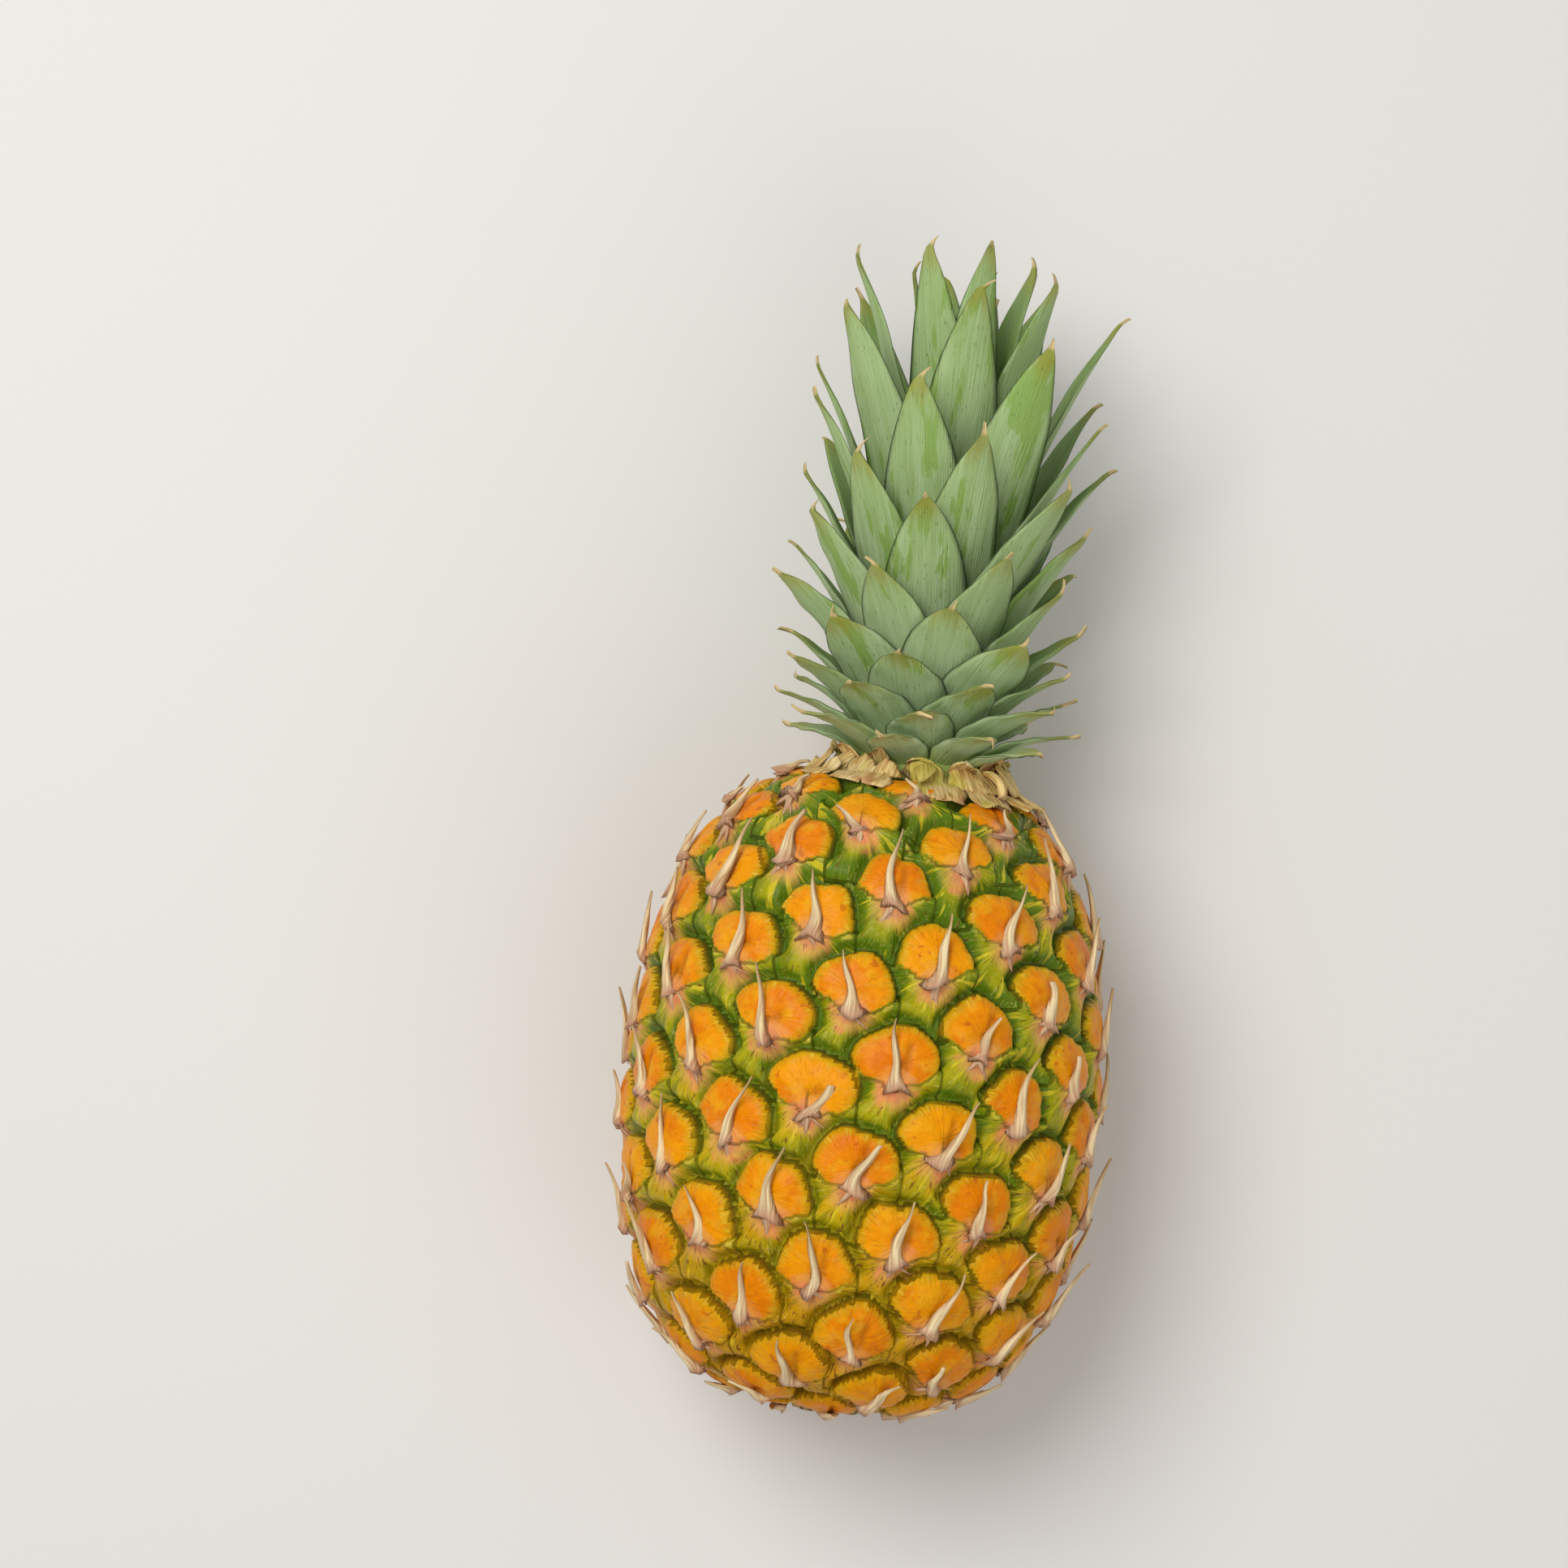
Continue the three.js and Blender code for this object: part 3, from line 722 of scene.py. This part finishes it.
def skirt_edge(u):
    """How high every skirt's upper edge is, across its disc.

    It covers more of a disc by the neck, sags or tilts from eye to eye, and dips around the spine's foot.
    """
    tilt = 0.16 * vary(5.7) - 0.12
    line = SKIRT_EDGE + SKIRT_EDGE_RISE * EYE_ARC / outline.end + SKIRT_SAG * u * u + tilt * u
    line = line + 0.4 * np.sin(0.9 * u + EYE_N) + 0.1 * np.sin(2.3 * u + 2 * EYE_N)
    return line - 0.8 * np.exp(-(u / 2) ** 2)


def disc_dents(u, v):
    """From 0 to 1: a slit right of the middle on some discs, and a dimple on some."""
    slit = np.exp(-((u - 2.0 - 0.1 * v) / 0.8) ** 2) * smooth((v + 3.5) / 1.5) * smooth((7 - v) / 3)
    dimple = np.exp(-(np.hypot(u + 2.5 * vary(1), v - 0.5) / 1.3) ** 2)
    return np.maximum(slit * (vary(3.3) > 0.1), dimple * (vary(7.7) > 0.35))


def disc_dome(u, v, angle, share, dents):
    """Every disc's height: level in the middle, rounded off and wrinkled towards the rim, and dented."""
    wrinkle = np.sin(17 * angle + 3 * np.sin(2 * angle + EYE_N)) * smooth((share - 0.45) / 0.45)
    waves = 0.22 * np.sin(0.7 * u + EYE_N) * np.sin(0.6 * v + 1.7 * EYE_N)
    return DISC_TOP - DISC_FALL * share ** 2.8 + 0.16 * wrinkle - DENT_DEPTH * dents + waves


def eye_relief(turn, arc, radius):
    """Relief height and colour values for one ring of skin points.

    The arrays u and v, and those worked out from them, have a row for each point and a column for each
    eye. They are in millimetres on a full-sized eye: u to the side, and v from its middle to the crown.
    """
    across = np.arctan2(np.sin(turn[:, None] - EYE_TURN), np.cos(turn[:, None] - EYE_TURN)) * radius
    scale = EYE_SIZE / FULL_EYE
    u = across / scale
    v = (arc - EYE_ARC[None, :] + 0 * across) / scale
    angle = np.arctan2(u, v)
    distance = np.hypot(u / (DISC_WIDENING + 0.06 * vary(2.9)), v)
    edge = disc_edge(angle)
    outside = distance - edge
    line = skirt_edge(u)
    covered = smooth((line - v) / 1.4 + 0.5)
    weight = smooth(-outside / 1.2 + 0.3) * (1 - covered)
    dents = disc_dents(u, v)
    dome = disc_dome(u, v, angle, np.clip(distance / edge, 0, 1), dents)
    disc = np.minimum(weight.sum(axis=1), 1)
    disc_height = (weight * dome).sum(axis=1) / np.maximum(weight.sum(axis=1), 1e-6)
    groove = (np.exp(-((outside - 0.5) / GROOVE_WIDTH) ** 2) * (1 - covered)).max(axis=1)
    away = (outside + 12 * covered).min(axis=1)

    # Each point has one home eye: that of the nearest disc, or of the skirt that the point is on. Where
    # several skirts reach a point, its home is the eye that is least to its side and least above it.
    row = np.arange(len(turn))
    near_disc = disc > 0.5
    nearest = np.argmin(distance, axis=1)
    reached = (v < line + 1.5) & (v > -SKIRT_REACH)
    owner = np.argmin(np.where(reached, np.abs(u) * 0.9 - 0.25 * v, NO_SKIRT), axis=1)
    home = np.where(near_disc, nearest, owner)
    home_u = u[row, home]
    home_v = v[row, home]

    # A skirt has a lip along its upper edge and folds that run out from the spine's foot.
    foot_distance = np.hypot(home_u, home_v - SKIRT_EDGE)
    skirt_angle = np.arctan2(home_u, -(home_v + 2.5))
    lip = np.exp(-((line[row, home] - home_v - 0.6) / 1.1) ** 2)
    lip = lip * (0.55 + 0.35 * np.sin(1.1 * home_u + 1.9 * home))
    plump = smooth(np.clip(away, 0, 4) / 4)
    folds = 0.16 * np.sin(6 * skirt_angle + home) + 0.08 * np.sin(13 * skirt_angle + 2 * home)
    skirt_height = SKIRT_FLOOR + SKIRT_RISE * plump + lip + folds * smooth(foot_distance / 4)
    skirt_height = skirt_height - 0.035 * np.clip(-4 - home_v, 0, 14)
    height = disc * disc_height + (1 - disc) * skirt_height - GROOVE_DEPTH * groove * (1 - 0.35 * disc)

    # Streaks run out from the middle of a disc, and from the spine's foot on a skirt.
    ray = np.where(near_disc, angle[row, nearest] * 1.6, skirt_angle * 1.3)
    reach = np.where(near_disc, distance[row, nearest], foot_distance)
    values = {
        "disc": disc,
        "groove": groove,
        "away": away / 10,
        "root": foot_distance / 10,
        "lip": lip,
        "crease": dents[row, nearest] * near_disc,
        "tone": 0.22 * vary(11.3)[nearest],
        "streak": np.stack([ray, reach * 0.25, home * 3.7], axis=-1),
    }
    return height, values


def circle(turns, radius, y, aside=0.0):
    """Points around the fruit's axis, or around a line aside from it, at a place along it."""
    x = np.sin(turns) * radius + aside
    z = np.cos(turns) * radius + AXIS_HEIGHT
    return np.stack([x, y + 0 * turns, z], axis=-1)


def make_rind():
    turns = 2 * np.pi * np.arange(COLUMNS) / COLUMNS
    rings = []
    kept = []
    for arc in np.linspace(0, outline.end, ROWS):
        height, values = eye_relief(turns, arc, outline.at_arc(arc, "r"))
        height = height * fade(arc)
        # Slow waves, a whole number of them around the fruit
        height = height + 0.25 * np.sin(2 * turns + 0.05 * arc) + 0.12 * np.sin(5 * turns - 0.11 * arc)
        values["groove"] = values["groove"] * fade(arc)
        values["ripe"] = 0 * turns + 1 - arc / outline.end
        values["scar"] = 0 * turns + 1 - smooth(arc / SCAR_WIDTH)
        rings.append(skin_points(turns, arc, height))
        kept.append(values)
    # The recess for the stub at the stem end
    lip_radius = np.linalg.norm(rings[0][0] - [0, rings[0][0][1], AXIS_HEIGHT])
    wall = BASE_RADIUS - 1.0
    recess = [((lip_radius + wall) / 2, BASE_Y), (wall, BASE_Y + 0.3), (wall - 0.4, BASE_Y + STUB_RECESS)]
    for radius, y in recess:
        rings.insert(0, circle(turns, radius, y))
        kept.insert(0, kept[0])
    points = np.concatenate(rings)
    points[:, 2] = np.maximum(points[:, 2], 0)
    ends = [[0, BASE_Y + STUB_RECESS, AXIS_HEIGHT], [0, NECK_Y, AXIS_HEIGHT]]
    points = np.concatenate([points, ends])
    values = {}
    for name in kept[0]:
        column = np.concatenate([ring[name] for ring in kept])
        values[name] = np.concatenate([column, column[:1], column[-1:]])
    faces = tube_faces(len(rings), COLUMNS)
    return new_piece("rind", points, faces, values, rind_material(), "fruit")


def spine_sections(eye):
    """Cross-sections of one dry spine, keeled above and hollow below, from its foot to its tip."""
    n, turn, arc, radius, size = eye
    t = np.linspace(0, 1, SPINE_STATIONS)[:, None]
    # Spines are shorter by the stem end, and leave room for the collar. Some have lost their tip.
    room = max(SHORTEST_SPINE, outline.end - COLLAR_ROOM - arc)
    shorter = 0.22 * float(smooth((0.3 - arc / outline.end) / 0.3))
    length = min(SPINE_LENGTH * (0.85 + 0.3 * chance(n, 1) - shorter), room)
    intact = 0.55 + 0.2 * chance(n, 34) if chance(n, 33) < BROKEN_SHARE else 1.0

    # The cross-section: widest in a ragged, flared foot, and rolled a little towards the tip
    stout = 0.72 + 0.48 * chance(n, 32)
    foot = np.exp(-(t / 0.11) ** 2)
    flare = 1.6 * foot * (1 + 0.25 * np.sin(7 * n))
    bulges = 1 + 0.14 * np.sin(11 * t + 3.3 * n)
    wide = 0.2 + (1.9 * (1 - t * intact) ** 1.3 * (0.8 + 0.2 * smooth(t / 0.2)) * bulges + flare) * stout
    keel = 0.5 + 1.7 * (1 - t) ** 1.3
    ruffle = 0.2 * np.sin(9 * t + 2.1 * PROFILE_SIDE + n)
    side = wide * PROFILE_SIDE + 0.25 * ruffle + spread(n, 37, 0.8) * foot
    high = keel * PROFILE_HIGH + ruffle * (1 - t)
    roll = spread(n, 31, 0.5) * t
    turned_side = side * np.cos(roll) - high * np.sin(roll)
    turned_high = side * np.sin(roll) + high * np.cos(roll)

    # Its path: leaning or curled to a side, and lifted off the skin towards its tip
    lean = 1 + spread(n, 2, 4.2)
    if chance(n, 38) < CURLED_SHARE:
        lean = math.copysign(6 + 2 * chance(n, 39), lean)
    sway = lean * t ** 1.5 + (1.6 * np.sin(2.6 * n) + np.sin(5 * t + n)) * t * (1 - t) * 2.6
    lift = SPINE_LIFT * (0.75 + 0.5 * chance(n, 3)) * (length / SPINE_LENGTH)
    base = EYE_TOP + 0.15 + (lift - 0.3) * (t * intact) ** (1 + 0.8 * chance(n, 35))
    base = base + spread(n, 36, 1.3) * np.sin(math.pi * t) * t
    length = length * intact
    hem = 1.3 * foot * (np.cos(2.6 * PROFILE_SIDE + 1.7 * n) - 0.2)
    up = arc - SPINE_FOOT * size - 1 + (length + 1) * t - hem
    points = skin_points(turn + (turned_side + sway) / radius, up, base + turned_high)
    grain = np.stack([side, length * t + 0 * side, n * 7.3 + 0 * side], axis=-1)
    return points, {"grain": grain}


def claw_sections(eye, k):
    """Cross-sections of one short dry prong that runs out from a spine's foot over the skirt."""
    n, turn, arc, radius, size = eye
    way = math.radians(spread(n, 40 + k, 30)) + (k - (CLAWS - 1) / 2) * CLAW_SPACING
    length = 2.2 + 3.6 * chance(n, 50 + k)
    t = np.linspace(0, 1, CLAW_STATIONS)[:, None]
    around = np.linspace(0, 2 * np.pi, CLAW_SIDES, endpoint=False)[None, :]
    thick = 0.7 * (1 - t) ** 0.7 + 0.08
    bend = spread(n, 60 + k, 2.2) * t * t
    side = np.sin(way) * length * t + np.cos(way) * bend + thick * 1.3 * np.sin(around)
    down = np.cos(way) * length * t - np.sin(way) * bend
    high = EYE_TOP + 0.3 - 1.5 * t ** 1.6 + thick * np.cos(around)
    points = skin_points(turn + side / radius, arc - SPINE_FOOT * size - down, high)
    grain = np.stack([side, 2.0 - 2.0 * t + 0 * side, n + k + 0 * side], axis=-1)
    return points, {"grain": grain}


def make_spines():
    gather = Gather()
    for eye in eyes:
        n, turn, arc = eye[:3]
        pressed = math.cos(turn) < PRESSED and abs(outline.at_arc(arc, "y")) < PRESSED_REACH
        if pressed:
            continue
        gather.tube(*spine_sections(eye))
        for k in range(CLAWS):
            if chance(n, 70 + k) < CLAW_SHARE:
                gather.tube(*claw_sections(eye, k))
    for part in gather.points:
        part[:, 2] = np.maximum(part[:, 2], 0)
    return gather.piece("eye_spines", spine_material(), "rind")


def blade_profile(across_count):
    """Places around a thin blade's cross-section: from side to side, and 0 on its outer face or 1 within."""
    across = np.linspace(-1, 1, across_count)
    s = np.concatenate([across, across[-2:0:-1]])[None, :]
    inner = np.concatenate([np.zeros(across_count), np.ones(across_count - 2)])[None, :]
    return s, inner


def crown_points(turn, out, side, y):
    """Points a distance out from the crown's own line at a turn, and a distance to that way's side."""
    x = np.sin(turn) * out + np.cos(turn) * side + CROWN_SHIFT
    z = np.cos(turn) * out - np.sin(turn) * side + AXIS_HEIGHT
    return np.stack([x, y, z], axis=-1)


def leaf_plan(j):
    """One crown leaf: where it grows, how long and wide it is, and how it bends."""
    share = min(1, j / (LEAVES - 1))
    # Young leaves stand upright inside the last full ones, each narrower than the one before.
    young = max(0, j - LEAVES + 1)
    root_height = FIRST_LEAF + (STEM_HEIGHT - FIRST_LEAF - 4) * share ** 1.15
    dome = math.sqrt(max(0, 1 - (root_height / STEM_HEIGHT) ** 2))
    k = j - MARKER_LEAF
    rise = min(MARKER_TIP + TIP_STEP * k + TIP_GROWTH * k * k, TALLEST_TIP) * (1 + spread(j, 5, 0.03))
    tip_height = max(rise, 8 + 0.5 * j) - 6 * smooth((share - 0.93) / 0.07)
    # The lowest scales stand a little apart, so that each shows its full outline.
    tip_height += 1.5 * math.exp(-((j - 16) / 4) ** 2) - 1.5 * math.exp(-((j - 7) / 3) ** 2)
    tip_radius = 33 + 5 * smooth(share / 0.2) - 26 * smooth((share - 0.86) / 0.17) + spread(j, 6, 2.5)
    return SimpleNamespace(
        share=share,
        turn=GOLDEN * k + CROWN_PHASE + spread(j, 4, 0.06),
        root_height=root_height,
        root_radius=max(2.2, STEM_RADIUS * dome - 1.5),
        tip_height=tip_height - 4 * young,
        tip_radius=tip_radius - 1.3 * young,
        width=13.5 + 7.5 * smooth(share / 0.46) - 3.5 * smooth((share - 0.88) / 0.12) - young,
        bend=math.radians(20 - 9 * smooth(share / 0.8) + spread(j, 7, 3)),
        twist=spread(j, 17, 0.38),
    )


def leaf_path(leaf, t):
    """The leaf's middle line, a shallow arc: how far out and up, its tilt, and how far apart its ends are."""
    outward = leaf.tip_radius - leaf.root_radius
    upward = leaf.tip_height - leaf.root_height
    chord = math.hypot(outward, upward)
    slope = math.atan2(outward, upward)
    turned = -leaf.bend + 2 * leaf.bend * t
    radius = chord / (2 * math.sin(leaf.bend))
    along = radius * (np.sin(turned) + math.sin(leaf.bend))
    bulge = radius * (np.cos(turned) - math.cos(leaf.bend))
    out = leaf.root_radius + along * math.sin(slope) - bulge * math.cos(slope)
    up = leaf.root_height + along * math.cos(slope) + bulge * math.sin(slope)
    return out, up, slope + turned, chord


def leaf_half_width(leaf, t, blade_end):
    """Half the leaf's width. The blade ends a little below the tip, which is a thin dry spike."""
    widest = 0.28 + 0.17 * leaf.share
    swell = 0.82 + 0.18 * smooth(t / widest)
    past = np.clip((t / blade_end - widest) / (1 - widest), 0, 1)
    spike = 0.15 + 0.5 * np.clip((1 - t) / (1 - blade_end), 0, 1)
    return leaf.width / 2 * swell * (1 - past ** 2.1) ** 0.9 + spike


def leaf_sections(j):
    """Cross-sections of one leaf: a thin trough that folds into a boat shape at its tip."""
    leaf = leaf_plan(j)
    t = np.linspace(0, 1, LEAF_STATIONS)[:, None]
    # Sections are closer together towards the tip.
    t = 1 - (1 - t) ** 1.4
    out, up, tilt, chord = leaf_path(leaf, t)
    spike_length = 1.2 + 2.8 * chance(j, 18) * (1 - 0.6 * leaf.share)
    blade_end = 1 - spike_length / chord
    half = leaf_half_width(leaf, t, blade_end)

    # The trough's curve and thickness, turned by the leaf's twist
    s, inner = blade_profile(LEAF_ACROSS)
    hug = (LEAF_HUG + LEAF_OPENING * t) / (1 + 1.6 * smooth((t - 0.72) / 0.28))
    wrap = np.minimum(half / hug, 1.3)
    thick = (1.5 - 0.9 * t) * (1 - s * s) ** 0.5 + 0.22
    ripple = 0.22 * np.sin(26 * t + 3 * j) * s * s * smooth(t / 0.3)
    flat_side = hug * np.sin(wrap * s)
    flat_inward = hug * (1 - np.cos(wrap * s)) + thick * inner + ripple
    twist = leaf.twist * t
    side = flat_side * np.cos(twist) - flat_inward * np.sin(twist) + spread(j, 8, 1.4) * t ** 2
    inward = flat_side * np.sin(twist) + flat_inward * np.cos(twist)
    # The dry spike curls.
    curl = np.clip((t - blade_end + 0.02) / (1.02 - blade_end), 0, 1) ** 2
    side = side + curl * spread(j, 9, 3.6)
    inward = inward + curl * spread(j, 10, 2.2)
    points = crown_points(leaf.turn, out - inward * np.cos(tilt), side, NECK_Y + up + inward * np.sin(tilt))
    flat = 0 * side
    values = {
        "grain": np.stack([s * half, chord * t + flat, 13.7 * j + 5 * inner + flat], axis=-1),
        "place": np.stack([t + flat, s + flat, inner + flat], axis=-1),
        "low": flat + float(1 - smooth(leaf.share / 0.35)),
        "dry": (t - blade_end) * chord + flat,
    }
    return points, values


def crown_stem():
    """Cross-sections of the short stem that the leaves grow from, closed by its dome."""
    rising = np.linspace(0, 0.5 * np.pi, STEM_LEVELS)[:-1]
    around = np.linspace(0, 2 * np.pi, STEM_SIDES, endpoint=False)
    levels = np.concatenate([[0.3], 1 + (STEM_HEIGHT - 1) * np.sin(rising)])[:, None]
    radii = STEM_RADIUS * np.concatenate([[1.0], np.cos(rising)])[:, None]
    points = circle(around, radii, NECK_Y + levels, CROWN_SHIFT)[:, ::-1]
    green = np.ones(points.shape[:2])
    values = {
        "grain": np.stack([around * 8 * green, levels * green, 0 * green], axis=-1),
        "place": np.stack([0.05 * green, 0 * green, 0 * green], axis=-1),
        "low": green,
        "dry": -20 * green,
    }
    return points, values


def make_crown():
    gather = Gather()
    gather.tube(*crown_stem())
    for j in range(LOWEST_LEAF, LEAVES + YOUNG_LEAVES):
        gather.tube(*leaf_sections(j))
    return gather.piece("crown_leaves", leaf_material(), "leaf", "crown")


def shoulder_height(x, z):
    """How far along the fruit its shoulder is, with its eyes, at places around the neck."""
    away = np.hypot(x, z - AXIS_HEIGHT)
    upper = outline.y > SHOULDER_START
    plain = np.interp(away, outline.r[upper][::-1], outline.y[upper][::-1])
    return plain + 0.2 + 2.0 * smooth((away - 18) / 6)


def bract_sections(i, count, foot, length, half, lifted, curl):
    """One papery bract of the collar, from its foot, a distance out and a height, along a curling path.

    Lifted is the path's first angle above level, and past a quarter turn the bract points inwards.
    """
    turn = (i + spread(i, 11, 0.35)) / count * 2 * math.pi
    half = half * (0.75 + 0.5 * chance(i, 13))
    length = length * (0.75 + 0.5 * chance(i, 12))
    t = np.linspace(0, 1, BRACT_STATIONS)[:, None]
    s, inner = blade_profile(BRACT_ACROSS)
    angle = lifted + 0.6 * chance(i, 14) - curl * (0.6 + 0.8 * chance(i, 15)) * t
    out = foot[0] + np.cumsum(np.cos(angle) * length / (BRACT_STATIONS - 1), axis=0)
    up = foot[1] + np.cumsum(np.sin(angle) * length / (BRACT_STATIONS - 1), axis=0)
    torn = 1 + 0.12 * np.sin(3.1 * i + 9 * t)
    wide = half * (0.75 + 0.25 * smooth(t / 0.4)) * (1 - t ** 4) ** 0.6 * torn + 0.15
    side = wide * s + spread(i, 16, 2.5) * t * t
    cup = 0.6 * (1 - s * s) + 0.3 * np.sin(5 * s + 2 * t + i)
    outer_side = 1 if lifted < math.pi / 2 else -1
    depth = outer_side * (cup + 0.4 * inner)
    points = crown_points(turn, out - depth * np.sin(angle), side, NECK_Y + up + depth * np.cos(angle))
    # A bract that would sink into the fruit's shoulder lies on it.
    lowest = shoulder_height(points[..., 0], points[..., 2]) + 0.4 * inner
    points[..., 1] = np.maximum(points[..., 1], lowest)
    grain = np.stack([side, length * t + 0 * s, 5.1 * i + 0 * side], axis=-1)
    return points, {"grain": grain}


def make_collar():
    gather = Gather()
    for k, (count, *shape) in enumerate(BRACT_RINGS):
        for i in range(count):
            gather.tube(*bract_sections(i + 40 * k, count, *shape))
    return gather.piece("collar_bracts", papery_material(), "dry_bract", "collar")


def make_stub():
    """The cut stem: a woody stub with a torn rim and a face that dips towards its middle."""
    around = np.linspace(0, 2 * np.pi, STUB_SIDES, endpoint=False)
    ragged = 1 + 0.03 * np.sin(5 * around) + 0.02 * np.sin(13 * around + 1)
    rings = []
    for level, share in STUB_OUTLINE:
        rough = 0.25 * np.sin(9 * around + 3 * level) * (level < 0)
        rings.append(circle(around, STUB_RADIUS * share * ragged, BASE_Y + level + rough * share))
    gather = Gather()
    gather.tube(np.stack(rings), {})
    return gather.piece("cut_stem_stub", wood_material(), "cut_stem", "stem_stub")


def make_floor():
    bpy.ops.mesh.primitive_plane_add(size=6, location=(0, 0, 0))
    floor = bpy.context.object
    floor.name = "floor"
    p = Paint("floor", 0.8)
    floor.data.materials.append(p.finish((*FLOOR_GREY, 1)))


def make_light(name, place, size, power, color):
    """A round, soft light that shines on the lit place."""
    data = bpy.data.lights.new(name, "AREA")
    data.shape = "DISK"
    data.size = size
    data.energy = power
    data.color = color
    light = bpy.data.objects.new(name, data)
    bpy.context.scene.collection.objects.link(light)
    light.location = place
    way = (Vector(place) - Vector(LIT_PLACE)).normalized()
    light.rotation_euler = way.to_track_quat("Z", "Y").to_euler()


def make_studio():
    make_floor()
    make_light("key_light", place=(-0.45, 0.42, 1.15), size=0.7, power=9.4, color=(1, 0.98, 0.95))
    make_light("fill_light", place=(0.5, -0.6, 1.0), size=1.2, power=2.6, color=(1, 0.98, 0.96))
    world = bpy.data.worlds.new("soft_studio")
    world.use_nodes = True
    background = world.node_tree.nodes["Background"]
    background.inputs["Color"].default_value = (1, 0.99, 0.98, 1)
    background.inputs["Strength"].default_value = 0.42
    bpy.context.scene.world = world
    bpy.context.scene.view_settings.view_transform = "Standard"


def make_camera():
    data = bpy.data.cameras.new("photo_view")
    data.angle = math.radians(CAMERA_ANGLE)
    data.clip_end = 20
    camera = bpy.data.objects.new("photo_view", data)
    bpy.context.scene.collection.objects.link(camera)
    camera.location = (*CAMERA_OVER, AXIS_HEIGHT * MM + CAMERA_DISTANCE)
    camera.rotation_euler = (0, 0, math.radians(CAMERA_TURN))
    bpy.context.scene.camera = camera


make_camera()
make_studio()
make_rind()
make_spines()
make_crown()
make_collar()
make_stub()
